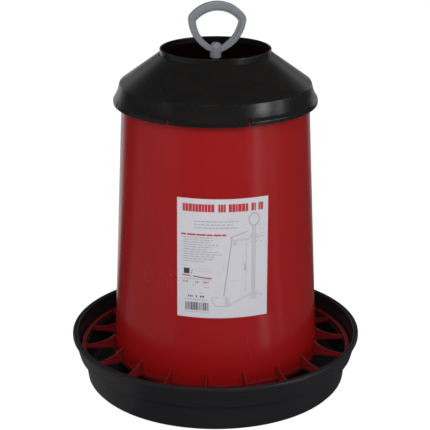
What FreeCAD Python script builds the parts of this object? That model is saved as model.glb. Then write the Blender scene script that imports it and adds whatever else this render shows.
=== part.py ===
import FreeCAD, Part
import math
import os

# Gravity poultry feeder. Millimetres, +Z up, front towards -Y.
# The origin lies on the ground, under the axis of the threaded rod.

# Tray
TRAY_RIM_RADIUS = 210.0
TRAY_RIM_TOP = 72.8
TRAY_RIM_HEIGHT = 6.0
TRAY_RIM_INNER_RADIUS = 202.6
TRAY_STEP_RADIUS = 201.0
TRAY_STEP_HEIGHT = 41.2
TRAY_LEDGE_TOP = 43.5
TRAY_LOWER_RADIUS = 193.4
TRAY_FOOT_RADIUS = 185.0
TRAY_FOOT_WIDTH = 6.0
TRAY_WALL = 3.0
TROUGH_FLOOR = 8.0
TRAY_CONE_RADIUS = 126.0
TRAY_CONE_SLOPE = 28.3
TRAY_HUB_RADIUS = 18.0
TRAY_HUB_TOP = 70.0
TRAY_HUB_BOTTOM = 54.0
LUG_COUNT = 8
LUG_RADIUS = 143.4
LUG_THICKNESS = 4.0
LUG_TOP = 45.0

# Shell: a tube that narrows upwards
SHELL_BOTTOM = 44.0
SHELL_TOP = 441.4
SHELL_BASE_RADIUS = 148.5
SHELL_TAPER = 2.69
SHELL_WALL = 3.0

# Grille: inner channel, radial bars with webs, outer ring
FIN_COUNT = 18
FIN_FIRST_ANGLE = -4.8
FIN_WEB_THICKNESS = 2.5
FIN_BAR_WIDTH = 5.0
FIN_TOP = 65.0
GRILLE_BOTTOM = 44.0
GRILLE_BAR_TOP = 49.0
GRILLE_CHANNEL_BOTTOM = 42.0
GRILLE_CHANNEL_TOP = 48.5
GRILLE_CHANNEL_RADIUS = 150.6
GRILLE_CHANNEL_INNER = 144.9
RING_INNER_RADIUS = 191.5
RING_OUTER_RADIUS = 198.0
RING_TOP = 51.0
SKIN_GAP = 0.15

# Lid: a cone with an open collar, a skirt and a flared, slit hem
LID_WALL = 2.5
LID_COLLAR_RADIUS = 77.2
LID_COLLAR_TOP = 490.0
LID_CONE_TOP_RADIUS = 78.6
LID_CONE_TOP = 482.0
LID_CONE_SLOPE = 36.0
LID_SHOULDER_RADIUS = 133.4
LID_HEM_RADIUS = 142.4
LID_HEM_TOP = 419.2
LID_BOTTOM = 414.2
LID_SLIT_COUNT = 8
LID_SLIT_FIRST_ANGLE = 18.5
LID_SLIT_WIDTH = 3.0
LID_SLIT_TOP = 424.6

# Rod, nuts and washers
ROD_RADIUS = 5.0
ROD_BOTTOM = 34.0
ROD_TOP = 490.0
RUNNING_CLEARANCE = 0.05
FREE_CLEARANCE = 0.3
WASHER_RADIUS = 15.0
WASHER_THICKNESS = 2.0
NUT_HEIGHT = 12.0
NUT_FLANGE_RADIUS = 19.0
NUT_FLANGE_HEIGHT = 3.5
NUT_GRIP_RADIUS = 17.0
NUT_LOBES = 8

# Bridge inside the top of the shell
BRIDGE_ARMS = 4
BRIDGE_FIRST_ANGLE = 45.0
BRIDGE_TOP = 436.0
BRIDGE_HUB_BOTTOM = 414.0
BRIDGE_HUB_RADIUS = 17.0
BRIDGE_ARM_WIDTH = 16.0
BRIDGE_ARM_HEIGHT = 14.0
BRIDGE_PLATE = 3.0
BRIDGE_SHOE_LENGTH = 24.0
BRIDGE_SHOE_WIDTH = 22.0
BRIDGE_SHOE_HEIGHT = 36.0
SCREW_HEIGHT = 424.0
SCREW_SHANK_RADIUS = 2.0
SCREW_SHANK_LENGTH = 12.0
SCREW_HEAD_RADIUS = 4.1
SCREW_HEAD_HEIGHT = 2.5

# Handle: a shield-shaped ring on a socket
HANDLE_TURN = 12.0
HANDLE_TOP = 554.0
HANDLE_CORNER = (40.3, 532.5)
HANDLE_SIDE = (32.2, 504.5)
HANDLE_THROAT = (7.0, 483.9)
HANDLE_STEP_CORNER = (33.0, 528.2)
HANDLE_STEP_SIDE = (24.4, 504.0)
HANDLE_STEP_TOP = 544.1
HANDLE_HOLE_CORNER = (30.1, 526.8)
HANDLE_HOLE_SIDE = (21.7, 505.4)
HANDLE_HOLE_TOP = 541.2
HANDLE_HOLE_BOTTOM = 490.0
HANDLE_THICKNESS = 10.0
HANDLE_LIP_THICKNESS = 6.4
HANDLE_EDGE_ROUNDING = 1.5
SOCKET_RADIUS = 8.0
SOCKET_BOTTOM = 476.0
SOCKET_SHOULDER = 492.0
SOCKET_TOP = 497.5

# Paper label on the front of the shell
LABEL_WIDTH = 126.5
LABEL_BOTTOM = 147.5
LABEL_TOP = 316.5
LABEL_CENTRE_ANGLE = 4.25
LABEL_THICKNESS = 0.3
LABEL_GAP = 0.05

UP = FreeCAD.Vector(0, 0, 1)
ORIGIN = FreeCAD.Vector(0, 0, 0)


def slope(degrees):
    return math.tan(math.radians(degrees))


def shell_radius(z):
    """Outer radius of the shell at a height."""
    return SHELL_BASE_RADIUS - (z - SHELL_BOTTOM) * slope(SHELL_TAPER)


def point(r, z):
    return FreeCAD.Vector(r, 0, z)


def outline(start, *steps):
    """Closed wire in the XZ plane. A step is an end point, or a pair: a point on an arc, then its end."""
    edges = []
    here = point(*start)
    for step in steps + (start,):
        if isinstance(step[0], tuple):
            middle, end = point(*step[0]), point(*step[1])
            edges.append(Part.Arc(here, middle, end).toShape())
        else:
            end = point(*step)
            edges.append(Part.LineSegment(here, end).toShape())
        here = end
    return Part.Wire(edges)


def turned(wire, degrees=360):
    return Part.Face(wire).revolve(ORIGIN, UP, degrees)


def tube(inner, outer, bottom, top):
    ring = Part.makeCylinder(outer, top - bottom, FreeCAD.Vector(0, 0, bottom))
    if inner > 0:
        ring = ring.cut(Part.makeCylinder(inner, top - bottom, FreeCAD.Vector(0, 0, bottom)))
    return ring


def block(x0, x1, width, z0, z1):
    """Box along +X, centred on the XZ plane."""
    return Part.makeBox(x1 - x0, width, z1 - z0, FreeCAD.Vector(x0, -width / 2, z0))


def plate(wire, thickness):
    """Flat plate of an XZ outline, centred on the XZ plane."""
    face = Part.Face(wire)
    face.translate(FreeCAD.Vector(0, -thickness / 2, 0))
    return face.extrude(FreeCAD.Vector(0, thickness, 0))


def around(shape, degrees):
    """Copy of a shape built along +X, turned so that zero degrees is the front (-Y)."""
    copy = shape.copy()
    copy.rotate(ORIGIN, UP, degrees - 90)
    return copy


def all_around(shape, count, first):
    return [around(shape, first + i * 360.0 / count) for i in range(count)]


def circles_at(shape, corners):
    """Edges of a turned shape that pass through the given (radius, height) corners."""
    found = []
    for edge in shape.Edges:
        curve = edge.Curve
        if not isinstance(curve, Part.Circle):
            continue
        for r, z in corners:
            if abs(curve.Radius - r) < 0.01 and abs(curve.Center.z - z) < 0.01:
                found.append(edge)
    return found


def rounded(shape, radius, corners):
    return shape.makeFillet(radius, circles_at(shape, corners))


def shell_core(clearance, bottom, top):
    """Solid cone that fills the shell up to its outer face, plus a clearance."""
    return turned(outline(
        (0, bottom),
        (shell_radius(bottom) + clearance, bottom),
        (shell_radius(top) + clearance, top),
        (0, top)))


def tray_cone_height(r):
    return TROUGH_FLOOR + (TRAY_CONE_RADIUS - r) * slope(TRAY_CONE_SLOPE)


def tray_body():
    cone_drop = TRAY_WALL / math.cos(math.radians(TRAY_CONE_SLOPE))
    foot_inner = TRAY_FOOT_RADIUS - TRAY_FOOT_WIDTH
    rim_bottom = TRAY_RIM_TOP - TRAY_RIM_HEIGHT
    wall_foot = (TRAY_FOOT_RADIUS + 4, 4.5)
    inner_foot = TRAY_LOWER_RADIUS - TRAY_WALL - 3.0
    body = turned(outline(
        (foot_inner, 0),
        (TRAY_FOOT_RADIUS, 0),
        wall_foot,
        (TRAY_LOWER_RADIUS, TRAY_STEP_HEIGHT - 0.8),
        (TRAY_STEP_RADIUS, TRAY_STEP_HEIGHT),
        ((204.3, 54.0), (208.6, rim_bottom)),
        (TRAY_RIM_RADIUS, rim_bottom + 0.4),
        (TRAY_RIM_RADIUS, TRAY_RIM_TOP),
        (TRAY_RIM_INNER_RADIUS, TRAY_RIM_TOP),
        (TRAY_RIM_INNER_RADIUS - 0.6, rim_bottom - 4),
        (TRAY_STEP_RADIUS - 1.7, TRAY_LEDGE_TOP),
        (TRAY_LOWER_RADIUS - TRAY_WALL, TRAY_LEDGE_TOP - 0.6),
        (inner_foot, TROUGH_FLOOR + 5),
        (inner_foot - 5, TROUGH_FLOOR),
        (TRAY_CONE_RADIUS, TROUGH_FLOOR),
        (TRAY_HUB_RADIUS, tray_cone_height(TRAY_HUB_RADIUS)),
        (TRAY_HUB_RADIUS, TRAY_HUB_TOP),
        (ROD_RADIUS + FREE_CLEARANCE, TRAY_HUB_TOP),
        (ROD_RADIUS + FREE_CLEARANCE, TRAY_HUB_BOTTOM),
        (TRAY_HUB_RADIUS, TRAY_HUB_BOTTOM),
        (TRAY_HUB_RADIUS, tray_cone_height(TRAY_HUB_RADIUS) - cone_drop),
        (TRAY_CONE_RADIUS, TROUGH_FLOOR - TRAY_WALL),
        (foot_inner, TROUGH_FLOOR - TRAY_WALL)))
    body = rounded(body, 2.4, [(TRAY_RIM_RADIUS, TRAY_RIM_TOP), (TRAY_RIM_INNER_RADIUS, TRAY_RIM_TOP)])
    return rounded(body, 0.8, [(TRAY_STEP_RADIUS, TRAY_STEP_HEIGHT)])


def feed_tray():
    """Tray with its trough, the cone that sheds feed outwards, and lugs that centre the shell."""
    lug = plate(outline(
        (LUG_RADIUS, TROUGH_FLOOR - 1),
        (LUG_RADIUS, LUG_TOP - 2),
        (LUG_RADIUS - 2, LUG_TOP),
        (LUG_RADIUS - 10, LUG_TOP),
        (LUG_RADIUS - 12, LUG_TOP - 2),
        (LUG_RADIUS - 14, 27.0),
        (LUG_RADIUS - 27, tray_cone_height(LUG_RADIUS - 27) - 1),
        (TRAY_CONE_RADIUS, TROUGH_FLOOR - 1)), LUG_THICKNESS)
    return tray_body().fuse(all_around(lug, LUG_COUNT, 0)).removeSplitter()


def feed_shell():
    """Tapered tube, with four holes near its top for the screws of the bridge."""
    shell = turned(outline(
        (shell_radius(SHELL_BOTTOM) - SHELL_WALL, SHELL_BOTTOM),
        (shell_radius(SHELL_BOTTOM), SHELL_BOTTOM),
        (shell_radius(SHELL_TOP), SHELL_TOP),
        (shell_radius(SHELL_TOP) - SHELL_WALL, SHELL_TOP)))
    reach = SHELL_BASE_RADIUS
    hole = Part.makeCylinder(
        SCREW_SHANK_RADIUS + 0.2, reach / 2, FreeCAD.Vector(reach / 2, 0, SCREW_HEIGHT), FreeCAD.Vector(1, 0, 0))
    return shell.cut(all_around(hole, BRIDGE_ARMS, BRIDGE_FIRST_ANGLE))


def grille_fin():
    """Radial bar with a web above it whose top edge sweeps down from the shell to the outer ring."""
    start = shell_radius(SHELL_BOTTOM) - 6
    end = RING_INNER_RADIUS + 1.5
    bar = block(start, end, FIN_BAR_WIDTH, GRILLE_BOTTOM, GRILLE_BAR_TOP)
    web = plate(outline(
        (start, GRILLE_BOTTOM),
        (start, FIN_TOP + 1),
        (shell_radius(FIN_TOP), FIN_TOP),
        ((166.0, 54.6), (end, RING_TOP - 0.3)),
        (end, GRILLE_BOTTOM)), FIN_WEB_THICKNESS)
    return bar.fuse(web)


def anti_waste_grille():
    """Ring of fins that keeps birds from scratching feed out. Its channel holds the shell's lower edge."""
    channel = tube(GRILLE_CHANNEL_INNER, GRILLE_CHANNEL_RADIUS, GRILLE_CHANNEL_BOTTOM, GRILLE_CHANNEL_TOP)
    channel = rounded(channel, 0.8, [(GRILLE_CHANNEL_RADIUS, GRILLE_CHANNEL_TOP)])
    ring = tube(RING_INNER_RADIUS, RING_OUTER_RADIUS, GRILLE_BOTTOM, RING_TOP)
    ring = rounded(ring, 1.2, [(RING_OUTER_RADIUS, RING_TOP), (RING_INNER_RADIUS, RING_TOP)])
    grille = channel.fuse([ring] + all_around(grille_fin(), FIN_COUNT, FIN_FIRST_ANGLE))
    core = shell_core(SKIN_GAP, SHELL_BOTTOM - SKIN_GAP, FIN_TOP + 5)
    return grille.cut(core).removeSplitter()


def lid():
    """Cone with an open collar for pouring feed, a skirt that hangs over the shell and a slit, flared hem."""
    fall = slope(LID_CONE_SLOPE)
    drop = LID_WALL / math.cos(math.radians(LID_CONE_SLOPE))
    inner_collar = LID_COLLAR_RADIUS - LID_WALL

    def cone_height(r):
        return LID_CONE_TOP - (r - LID_CONE_TOP_RADIUS) * fall

    shoulder = (LID_SHOULDER_RADIUS, cone_height(LID_SHOULDER_RADIUS))
    inner_shoulder = (LID_SHOULDER_RADIUS - 2.0, cone_height(LID_SHOULDER_RADIUS - 2.0) - drop)
    body = turned(outline(
        (LID_COLLAR_RADIUS, LID_CONE_TOP),
        (LID_CONE_TOP_RADIUS, LID_CONE_TOP),
        shoulder,
        ((136.3, 431.0), (139.2, 424.4)),
        ((LID_HEM_RADIUS - 0.7, 422.0), (LID_HEM_RADIUS, LID_HEM_TOP)),
        (LID_HEM_RADIUS, LID_BOTTOM),
        (LID_HEM_RADIUS - 2.0, LID_BOTTOM),
        (LID_HEM_RADIUS - 2.2, LID_HEM_TOP - 0.6),
        ((LID_HEM_RADIUS - 3.1, 420.8), (137.0, 423.6)),
        ((133.9, 431.0), inner_shoulder),
        (inner_collar, cone_height(inner_collar) - drop),
        (inner_collar, LID_COLLAR_TOP),
        (LID_COLLAR_RADIUS, LID_COLLAR_TOP)))
    body = rounded(body, 2.6, [shoulder])
    body = rounded(body, 1.1, [(LID_COLLAR_RADIUS, LID_COLLAR_TOP), (inner_collar, LID_COLLAR_TOP)])
    slit = block(LID_SHOULDER_RADIUS, LID_HEM_RADIUS + 2, LID_SLIT_WIDTH, LID_BOTTOM - 1, LID_SLIT_TOP)
    return body.cut(all_around(slit, LID_SLIT_COUNT, LID_SLIT_FIRST_ANGLE))


def threaded_rod():
    end = 1.0
    return turned(outline(
        (0, ROD_BOTTOM),
        (ROD_RADIUS - end, ROD_BOTTOM),
        (ROD_RADIUS, ROD_BOTTOM + end),
        (ROD_RADIUS, ROD_TOP - end),
        (ROD_RADIUS - end, ROD_TOP),
        (0, ROD_TOP)))


def washer(bottom):
    ring = tube(ROD_RADIUS + FREE_CLEARANCE, WASHER_RADIUS, bottom, bottom + WASHER_THICKNESS)
    return rounded(ring, 0.3, [(WASHER_RADIUS, bottom), (WASHER_RADIUS, bottom + WASHER_THICKNESS)])


def hand_nut(seat, direction):
    """Lobed hand nut whose flange lies at the seat height. The grip points up (1) or down (-1)."""
    bore = ROD_RADIUS + RUNNING_CLEARANCE
    body = turned(outline(
        (bore, 0.8),
        (bore + 0.8, 0),
        (NUT_FLANGE_RADIUS - 0.5, 0),
        (NUT_FLANGE_RADIUS, 0.5),
        (NUT_FLANGE_RADIUS, NUT_FLANGE_HEIGHT - 1),
        (NUT_GRIP_RADIUS, NUT_FLANGE_HEIGHT),
        (NUT_GRIP_RADIUS, NUT_HEIGHT - 1.5),
        (NUT_GRIP_RADIUS - 1.5, NUT_HEIGHT),
        (bore + 0.8, NUT_HEIGHT),
        (bore, NUT_HEIGHT - 0.8)))
    scallop = Part.makeCylinder(
        4.5, NUT_HEIGHT, FreeCAD.Vector(NUT_GRIP_RADIUS + 2.5, 0, NUT_FLANGE_HEIGHT))
    nut = body.cut(all_around(scallop, NUT_LOBES, 0))
    if direction < 0:
        nut.rotate(ORIGIN, FreeCAD.Vector(1, 0, 0), 180)
    nut.translate(FreeCAD.Vector(0, 0, seat))
    return nut


def bridge_arm():
    """One arm: an inverted channel from the hub to a hollow shoe against the shell."""
    wall = shell_radius(BRIDGE_TOP)
    under = BRIDGE_TOP - BRIDGE_PLATE
    arm = block(BRIDGE_HUB_RADIUS - 4, wall, BRIDGE_ARM_WIDTH, BRIDGE_TOP - BRIDGE_ARM_HEIGHT, BRIDGE_TOP)
    arm = arm.cut(block(
        BRIDGE_HUB_RADIUS - 4, wall - 10, BRIDGE_ARM_WIDTH - 2 * BRIDGE_PLATE, BRIDGE_TOP - 40, under))
    shoe_start = wall - SHELL_WALL - BRIDGE_SHOE_LENGTH
    shoe = block(shoe_start, wall + 3, BRIDGE_SHOE_WIDTH, BRIDGE_TOP - BRIDGE_SHOE_HEIGHT, BRIDGE_TOP)
    shoe = shoe.cut(block(
        shoe_start + BRIDGE_PLATE, wall - 10, BRIDGE_SHOE_WIDTH - 2 * BRIDGE_PLATE, BRIDGE_TOP - 40, under))
    pilot = Part.makeCylinder(
        SCREW_SHANK_RADIUS + RUNNING_CLEARANCE, 20, FreeCAD.Vector(wall - 12, 0, SCREW_HEIGHT),
        FreeCAD.Vector(1, 0, 0))
    return arm.fuse(shoe).cut(pilot)


def bridge():
    """Crosspiece that hangs the shell on the rod."""
    hub = tube(0, BRIDGE_HUB_RADIUS, BRIDGE_HUB_BOTTOM, BRIDGE_TOP)
    cross = hub.fuse(all_around(bridge_arm(), BRIDGE_ARMS, BRIDGE_FIRST_ANGLE))
    core = shell_core(-SHELL_WALL - SKIN_GAP, BRIDGE_TOP - 60, BRIDGE_TOP + 10)
    bore = Part.makeCylinder(ROD_RADIUS + FREE_CLEARANCE, SHELL_TOP)
    return cross.common(core).cut(bore).removeSplitter()


def bridge_screw(number):
    """Pan-head screw from outside the shell into a shoe of the bridge."""
    seat = shell_radius(SCREW_HEIGHT - SCREW_HEAD_RADIUS) + 0.02
    shape = turned(outline(
        (0, -SCREW_SHANK_LENGTH),
        (SCREW_SHANK_RADIUS - 0.8, -SCREW_SHANK_LENGTH + 0.6),
        (SCREW_SHANK_RADIUS, -SCREW_SHANK_LENGTH + 2.5),
        (SCREW_SHANK_RADIUS, 0),
        (SCREW_HEAD_RADIUS, 0),
        (SCREW_HEAD_RADIUS, 0.9),
        ((SCREW_HEAD_RADIUS * 0.72, SCREW_HEAD_HEIGHT * 0.82), (0, SCREW_HEAD_HEIGHT))))
    slot = Part.makeBox(4.2, 0.9, 1.5, FreeCAD.Vector(-2.1, -0.45, SCREW_HEAD_HEIGHT - 1.3))
    cross_slot = slot.copy()
    cross_slot.rotate(ORIGIN, UP, 90)
    shape = shape.cut([slot, cross_slot])
    shape.rotate(ORIGIN, FreeCAD.Vector(0, 1, 0), 90)
    shape.translate(FreeCAD.Vector(seat, 0, SCREW_HEIGHT))
    return around(shape, BRIDGE_FIRST_ANGLE + number * 360.0 / BRIDGE_ARMS)


def shield(corner, side, throat, top):
    """Mirrored outline: an arc over the top, and an arc down each side to the throat."""
    def left(p):
        return (-p[0], p[1])
    return outline(throat, (side, corner), ((0, top), left(corner)), (left(side), left(throat)))


def handle():
    """Ring grip with a thinner lip around its hole, on a socket that screws onto the rod."""
    step_throat = (7.0, HANDLE_HOLE_BOTTOM - 1.2)
    hole_throat = (7.0, HANDLE_HOLE_BOTTOM + 2.5)
    outer = shield(HANDLE_CORNER, HANDLE_SIDE, HANDLE_THROAT, HANDLE_TOP)
    step = shield(HANDLE_STEP_CORNER, HANDLE_STEP_SIDE, step_throat, HANDLE_STEP_TOP)
    hole = shield(HANDLE_HOLE_CORNER, HANDLE_HOLE_SIDE, hole_throat, HANDLE_HOLE_TOP)
    band = plate(outer, HANDLE_THICKNESS)
    corners = [e for e in band.Edges
               if abs(abs(e.CenterOfMass.x) - HANDLE_CORNER[0]) < 0.01 and abs(e.CenterOfMass.y) < 0.01]
    band = band.makeFillet(3.0, corners)
    rims = [e for e in band.Edges if abs(abs(e.CenterOfMass.y) - HANDLE_THICKNESS / 2) < 0.01
            and e.BoundBox.ZMax > HANDLE_THROAT[1] + 1]
    band = band.makeFillet(HANDLE_EDGE_ROUNDING, rims)
    band = band.cut(plate(hole, HANDLE_THICKNESS + 2))
    pocket_depth = (HANDLE_THICKNESS - HANDLE_LIP_THICKNESS) / 2
    for side in (-1, 1):
        pocket = plate(step, pocket_depth + 1)
        pocket.translate(FreeCAD.Vector(0, side * (HANDLE_LIP_THICKNESS + pocket_depth + 1) / 2, 0))
        band = band.cut(pocket)
    socket = turned(outline(
        (0, SOCKET_BOTTOM),
        (SOCKET_RADIUS - 0.6, SOCKET_BOTTOM),
        (SOCKET_RADIUS, SOCKET_BOTTOM + 0.6),
        (SOCKET_RADIUS, SOCKET_SHOULDER),
        ((SOCKET_RADIUS * 0.7, SOCKET_TOP - 1.7), (0, SOCKET_TOP))))
    socket.rotate(ORIGIN, UP, 90)
    bore = Part.makeCylinder(
        ROD_RADIUS + RUNNING_CLEARANCE, ROD_TOP + 0.5 - SOCKET_BOTTOM, FreeCAD.Vector(0, 0, SOCKET_BOTTOM))
    grip = socket.fuse(band).cut(bore)
    grip.rotate(ORIGIN, UP, HANDLE_TURN)
    return grip


def label():
    """Paper label wrapped on the front of the shell."""
    inner = LABEL_GAP
    outer = LABEL_GAP + LABEL_THICKNESS
    span = math.degrees(LABEL_WIDTH / shell_radius((LABEL_BOTTOM + LABEL_TOP) / 2))
    paper = turned(outline(
        (shell_radius(LABEL_BOTTOM) + inner, LABEL_BOTTOM),
        (shell_radius(LABEL_BOTTOM) + outer, LABEL_BOTTOM),
        (shell_radius(LABEL_TOP) + outer, LABEL_TOP),
        (shell_radius(LABEL_TOP) + inner, LABEL_TOP)), span)
    return around(paper, LABEL_CENTRE_ANGLE - span / 2)


def pieces():
    """Every node of the feeder by name."""
    nodes = {
        "feed_tray": feed_tray(),
        "feed_shell": feed_shell(),
        "anti_waste_grille": anti_waste_grille(),
        "lid": lid(),
        "handle": handle(),
        "label": label(),
        "threaded_rod": threaded_rod(),
        "bridge": bridge(),
        "tray_washer_upper": washer(TRAY_HUB_TOP),
        "tray_washer_lower": washer(TRAY_HUB_BOTTOM - WASHER_THICKNESS),
        "tray_nut_upper": hand_nut(TRAY_HUB_TOP + WASHER_THICKNESS, 1),
        "tray_nut_lower": hand_nut(TRAY_HUB_BOTTOM - WASHER_THICKNESS, -1),
        "bridge_washer_upper": washer(BRIDGE_TOP),
        "bridge_washer_lower": washer(BRIDGE_HUB_BOTTOM - WASHER_THICKNESS),
        "bridge_nut_upper": hand_nut(BRIDGE_TOP + WASHER_THICKNESS, 1),
        "bridge_nut_lower": hand_nut(BRIDGE_HUB_BOTTOM - WASHER_THICKNESS, -1),
    }
    for number in range(BRIDGE_ARMS):
        nodes["bridge_screw_%d" % (number + 1)] = bridge_screw(number)
    return nodes


os.makedirs("parts", exist_ok=True)
for name, shape in pieces().items():
    solid = shape.Solids[0]
    if len(shape.Solids) != 1 or not solid.isValid():
        print(name, "is not one valid solid:", len(shape.Solids))
    solid.exportStep("parts/%s.step" % name)
    box = solid.BoundBox
    print("%-22s %8.1f cm3   z %6.1f to %6.1f" % (name, solid.Volume / 1000, box.ZMin, box.ZMax))
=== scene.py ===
"""Looks of a gravity poultry feeder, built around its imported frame.

Metres, +Z up, front towards -Y. Sizes in the classes are millimetres and go through MM.
"""

import logging
import math
import random
from dataclasses import dataclass
from enum import Enum
from typing import Callable, Iterable, Optional, Sequence, Union

import bmesh
import bpy
from mathutils import Matrix, Vector


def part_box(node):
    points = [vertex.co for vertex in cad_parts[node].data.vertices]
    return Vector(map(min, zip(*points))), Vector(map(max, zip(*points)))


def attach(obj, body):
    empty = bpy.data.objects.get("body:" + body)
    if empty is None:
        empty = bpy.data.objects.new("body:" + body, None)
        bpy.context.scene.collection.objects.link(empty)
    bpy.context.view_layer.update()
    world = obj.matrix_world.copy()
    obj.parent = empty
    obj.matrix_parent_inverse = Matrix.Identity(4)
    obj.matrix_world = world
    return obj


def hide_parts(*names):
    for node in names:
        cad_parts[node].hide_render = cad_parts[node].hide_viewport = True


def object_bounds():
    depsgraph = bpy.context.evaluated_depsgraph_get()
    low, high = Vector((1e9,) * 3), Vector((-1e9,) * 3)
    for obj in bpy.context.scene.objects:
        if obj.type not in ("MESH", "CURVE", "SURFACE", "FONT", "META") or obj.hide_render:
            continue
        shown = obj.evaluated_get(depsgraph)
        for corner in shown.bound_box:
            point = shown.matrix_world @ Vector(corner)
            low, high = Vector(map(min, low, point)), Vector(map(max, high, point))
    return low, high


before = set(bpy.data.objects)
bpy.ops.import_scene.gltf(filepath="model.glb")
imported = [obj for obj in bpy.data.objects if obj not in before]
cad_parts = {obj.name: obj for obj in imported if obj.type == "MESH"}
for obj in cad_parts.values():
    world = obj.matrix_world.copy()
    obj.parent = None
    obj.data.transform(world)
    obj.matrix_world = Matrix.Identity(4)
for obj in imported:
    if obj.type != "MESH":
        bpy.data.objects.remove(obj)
cad_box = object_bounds()

MM = 0.001
FULL_TURN = 2 * math.pi
TURNED_SEGMENTS = 288
EDGE_LAYER = "edge"
CREASE_DEGREES = 38.0
DOUBLED = 0.002 * MM

log = logging.getLogger("feeder")

Colour = tuple[float, float, float]
Pair = tuple[float, float]
SocketValue = Union[float, int, tuple, str, bpy.types.NodeSocket, bpy.types.Material]
RadiusRule = Callable[[float, float, float], float]


class Body(Enum):
    """The moving bodies of the feeder."""

    STAND = "stand"
    HOPPER = "hopper"
    LOWER_NUT = "lower_bridge_nut"
    UPPER_NUT = "upper_bridge_nut"
    LID = "lid"
    HANDLE = "handle"


class Solid(Enum):
    """How two closed meshes are put together."""

    JOIN = "UNION"
    CUT = "DIFFERENCE"


# ---- Node trees ----


class Graph:
    """Builds the nodes of one tree."""

    def __init__(self, tree: bpy.types.NodeTree) -> None:
        """Starts on a tree.

        Args:
            tree: The shader or geometry tree to add nodes to.
        """
        self.tree = tree

    def node(self, kind: str, inputs: Optional[dict] = None, **settings: object) -> bpy.types.Node:
        """Adds one node.

        Args:
            kind: The node's class name.
            inputs: Values or sockets to link, by the input's name or number.
            **settings: The node's own properties.

        Returns:
            The new node.
        """
        made = self.tree.nodes.new(kind)
        for name, value in settings.items():
            setattr(made, name, value)
        self.feed(made, inputs or {})
        return made

    def feed(self, node: bpy.types.Node, inputs: dict) -> None:
        """Sets or links a node's inputs.

        Args:
            node: The node.
            inputs: Values or sockets to link, by the input's name or number.
        """
        for key, value in inputs.items():
            if isinstance(value, bpy.types.NodeSocket):
                self.tree.links.new(value, node.inputs[key])
            else:
                node.inputs[key].default_value = value

    def math(self, operation: str, *values: SocketValue) -> bpy.types.NodeSocket:
        """Adds a Math node and returns its result."""
        return self.node("ShaderNodeMath", dict(enumerate(values)), operation=operation).outputs[0]

    def total(self, start: SocketValue, *terms: tuple[SocketValue, SocketValue]) -> SocketValue:
        """Adds weighted values to a first value.

        Args:
            start: The first value.
            *terms: Pairs of a value and its weight.

        Returns:
            The sum.
        """
        for value, weight in terms:
            start = self.math("ADD", start, self.math("MULTIPLY", value, weight))
        return start

    def ramp(self, value: SocketValue, low: SocketValue, high: SocketValue,
             to_low: SocketValue = 0.0, to_high: SocketValue = 1.0) -> bpy.types.NodeSocket:
        """Maps a value smoothly from one range to another.

        Args:
            value: The value to map.
            low: Where the ramp starts.
            high: Where it ends.
            to_low: Result at the start.
            to_high: Result at the end.

        Returns:
            The mapped value, held within the result's range.
        """
        inputs = {"Value": value, "From Min": low, "From Max": high, "To Min": to_low, "To Max": to_high}
        return self.node("ShaderNodeMapRange", inputs, interpolation_type="SMOOTHSTEP").outputs["Result"]

    def noise(self, vector: bpy.types.NodeSocket, scale: SocketValue, detail: float = 3.0,
              roughness: float = 0.5) -> bpy.types.NodeSocket:
        """Adds a noise of an object-space vector and returns its value."""
        inputs = {"Vector": vector, "Scale": scale, "Detail": detail, "Roughness": roughness}
        return self.node("ShaderNodeTexNoise", inputs).outputs[0]

    def place(self) -> bpy.types.NodeSocket:
        """Returns the object coordinates of the shaded point."""
        return self.node("ShaderNodeTexCoord").outputs["Object"]

    def stretched(self, vector: bpy.types.NodeSocket, scale: Sequence[float],
                  turn: Sequence[float] = (0.0, 0.0, 0.0)) -> bpy.types.NodeSocket:
        """Scales and turns a vector, so that a pattern becomes drawn out along an axis."""
        inputs = {"Vector": vector, "Scale": tuple(scale), "Rotation": tuple(turn)}
        return self.node("ShaderNodeMapping", inputs).outputs[0]

    def mix(self, factor: SocketValue, first: SocketValue, second: SocketValue) -> bpy.types.NodeSocket:
        """Mixes two colours.

        Args:
            factor: Share of the second colour.
            first: A colour or a socket.
            second: A colour or a socket.

        Returns:
            The mixed colour.
        """
        made = self.node("ShaderNodeMix", {"Factor": factor}, data_type="RGBA")
        for name, value in (("A", first), ("B", second)):
            socket = next(s for s in made.inputs if s.name == name and s.type == "RGBA")
            if isinstance(value, bpy.types.NodeSocket):
                self.tree.links.new(value, socket)
            else:
                socket.default_value = value
        return next(s for s in made.outputs if s.type == "RGBA")


def new_group(name: str, kind: str, inputs: Iterable[tuple[str, str, object]],
              outputs: Iterable[tuple[str, str]]) -> tuple[Graph, bpy.types.Node, bpy.types.Node]:
    """Makes an empty node group with named sockets.

    Args:
        name: The group's name.
        kind: "ShaderNodeTree" or "GeometryNodeTree".
        inputs: Name, socket type and default of each input; a default of None is left alone.
        outputs: Name and socket type of each output.

    Returns:
        The group's graph, its input node and its output node.
    """
    tree = bpy.data.node_groups.new(name, kind)
    for title, socket_type, default in inputs:
        socket = tree.interface.new_socket(name=title, in_out="INPUT", socket_type=socket_type)
        if default is not None:
            socket.default_value = default
    for title, socket_type in outputs:
        tree.interface.new_socket(name=title, in_out="OUTPUT", socket_type=socket_type)
    graph = Graph(tree)
    return graph, graph.node("NodeGroupInput"), graph.node("NodeGroupOutput")


# ---- Surface effects shared by the finishes ----


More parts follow.
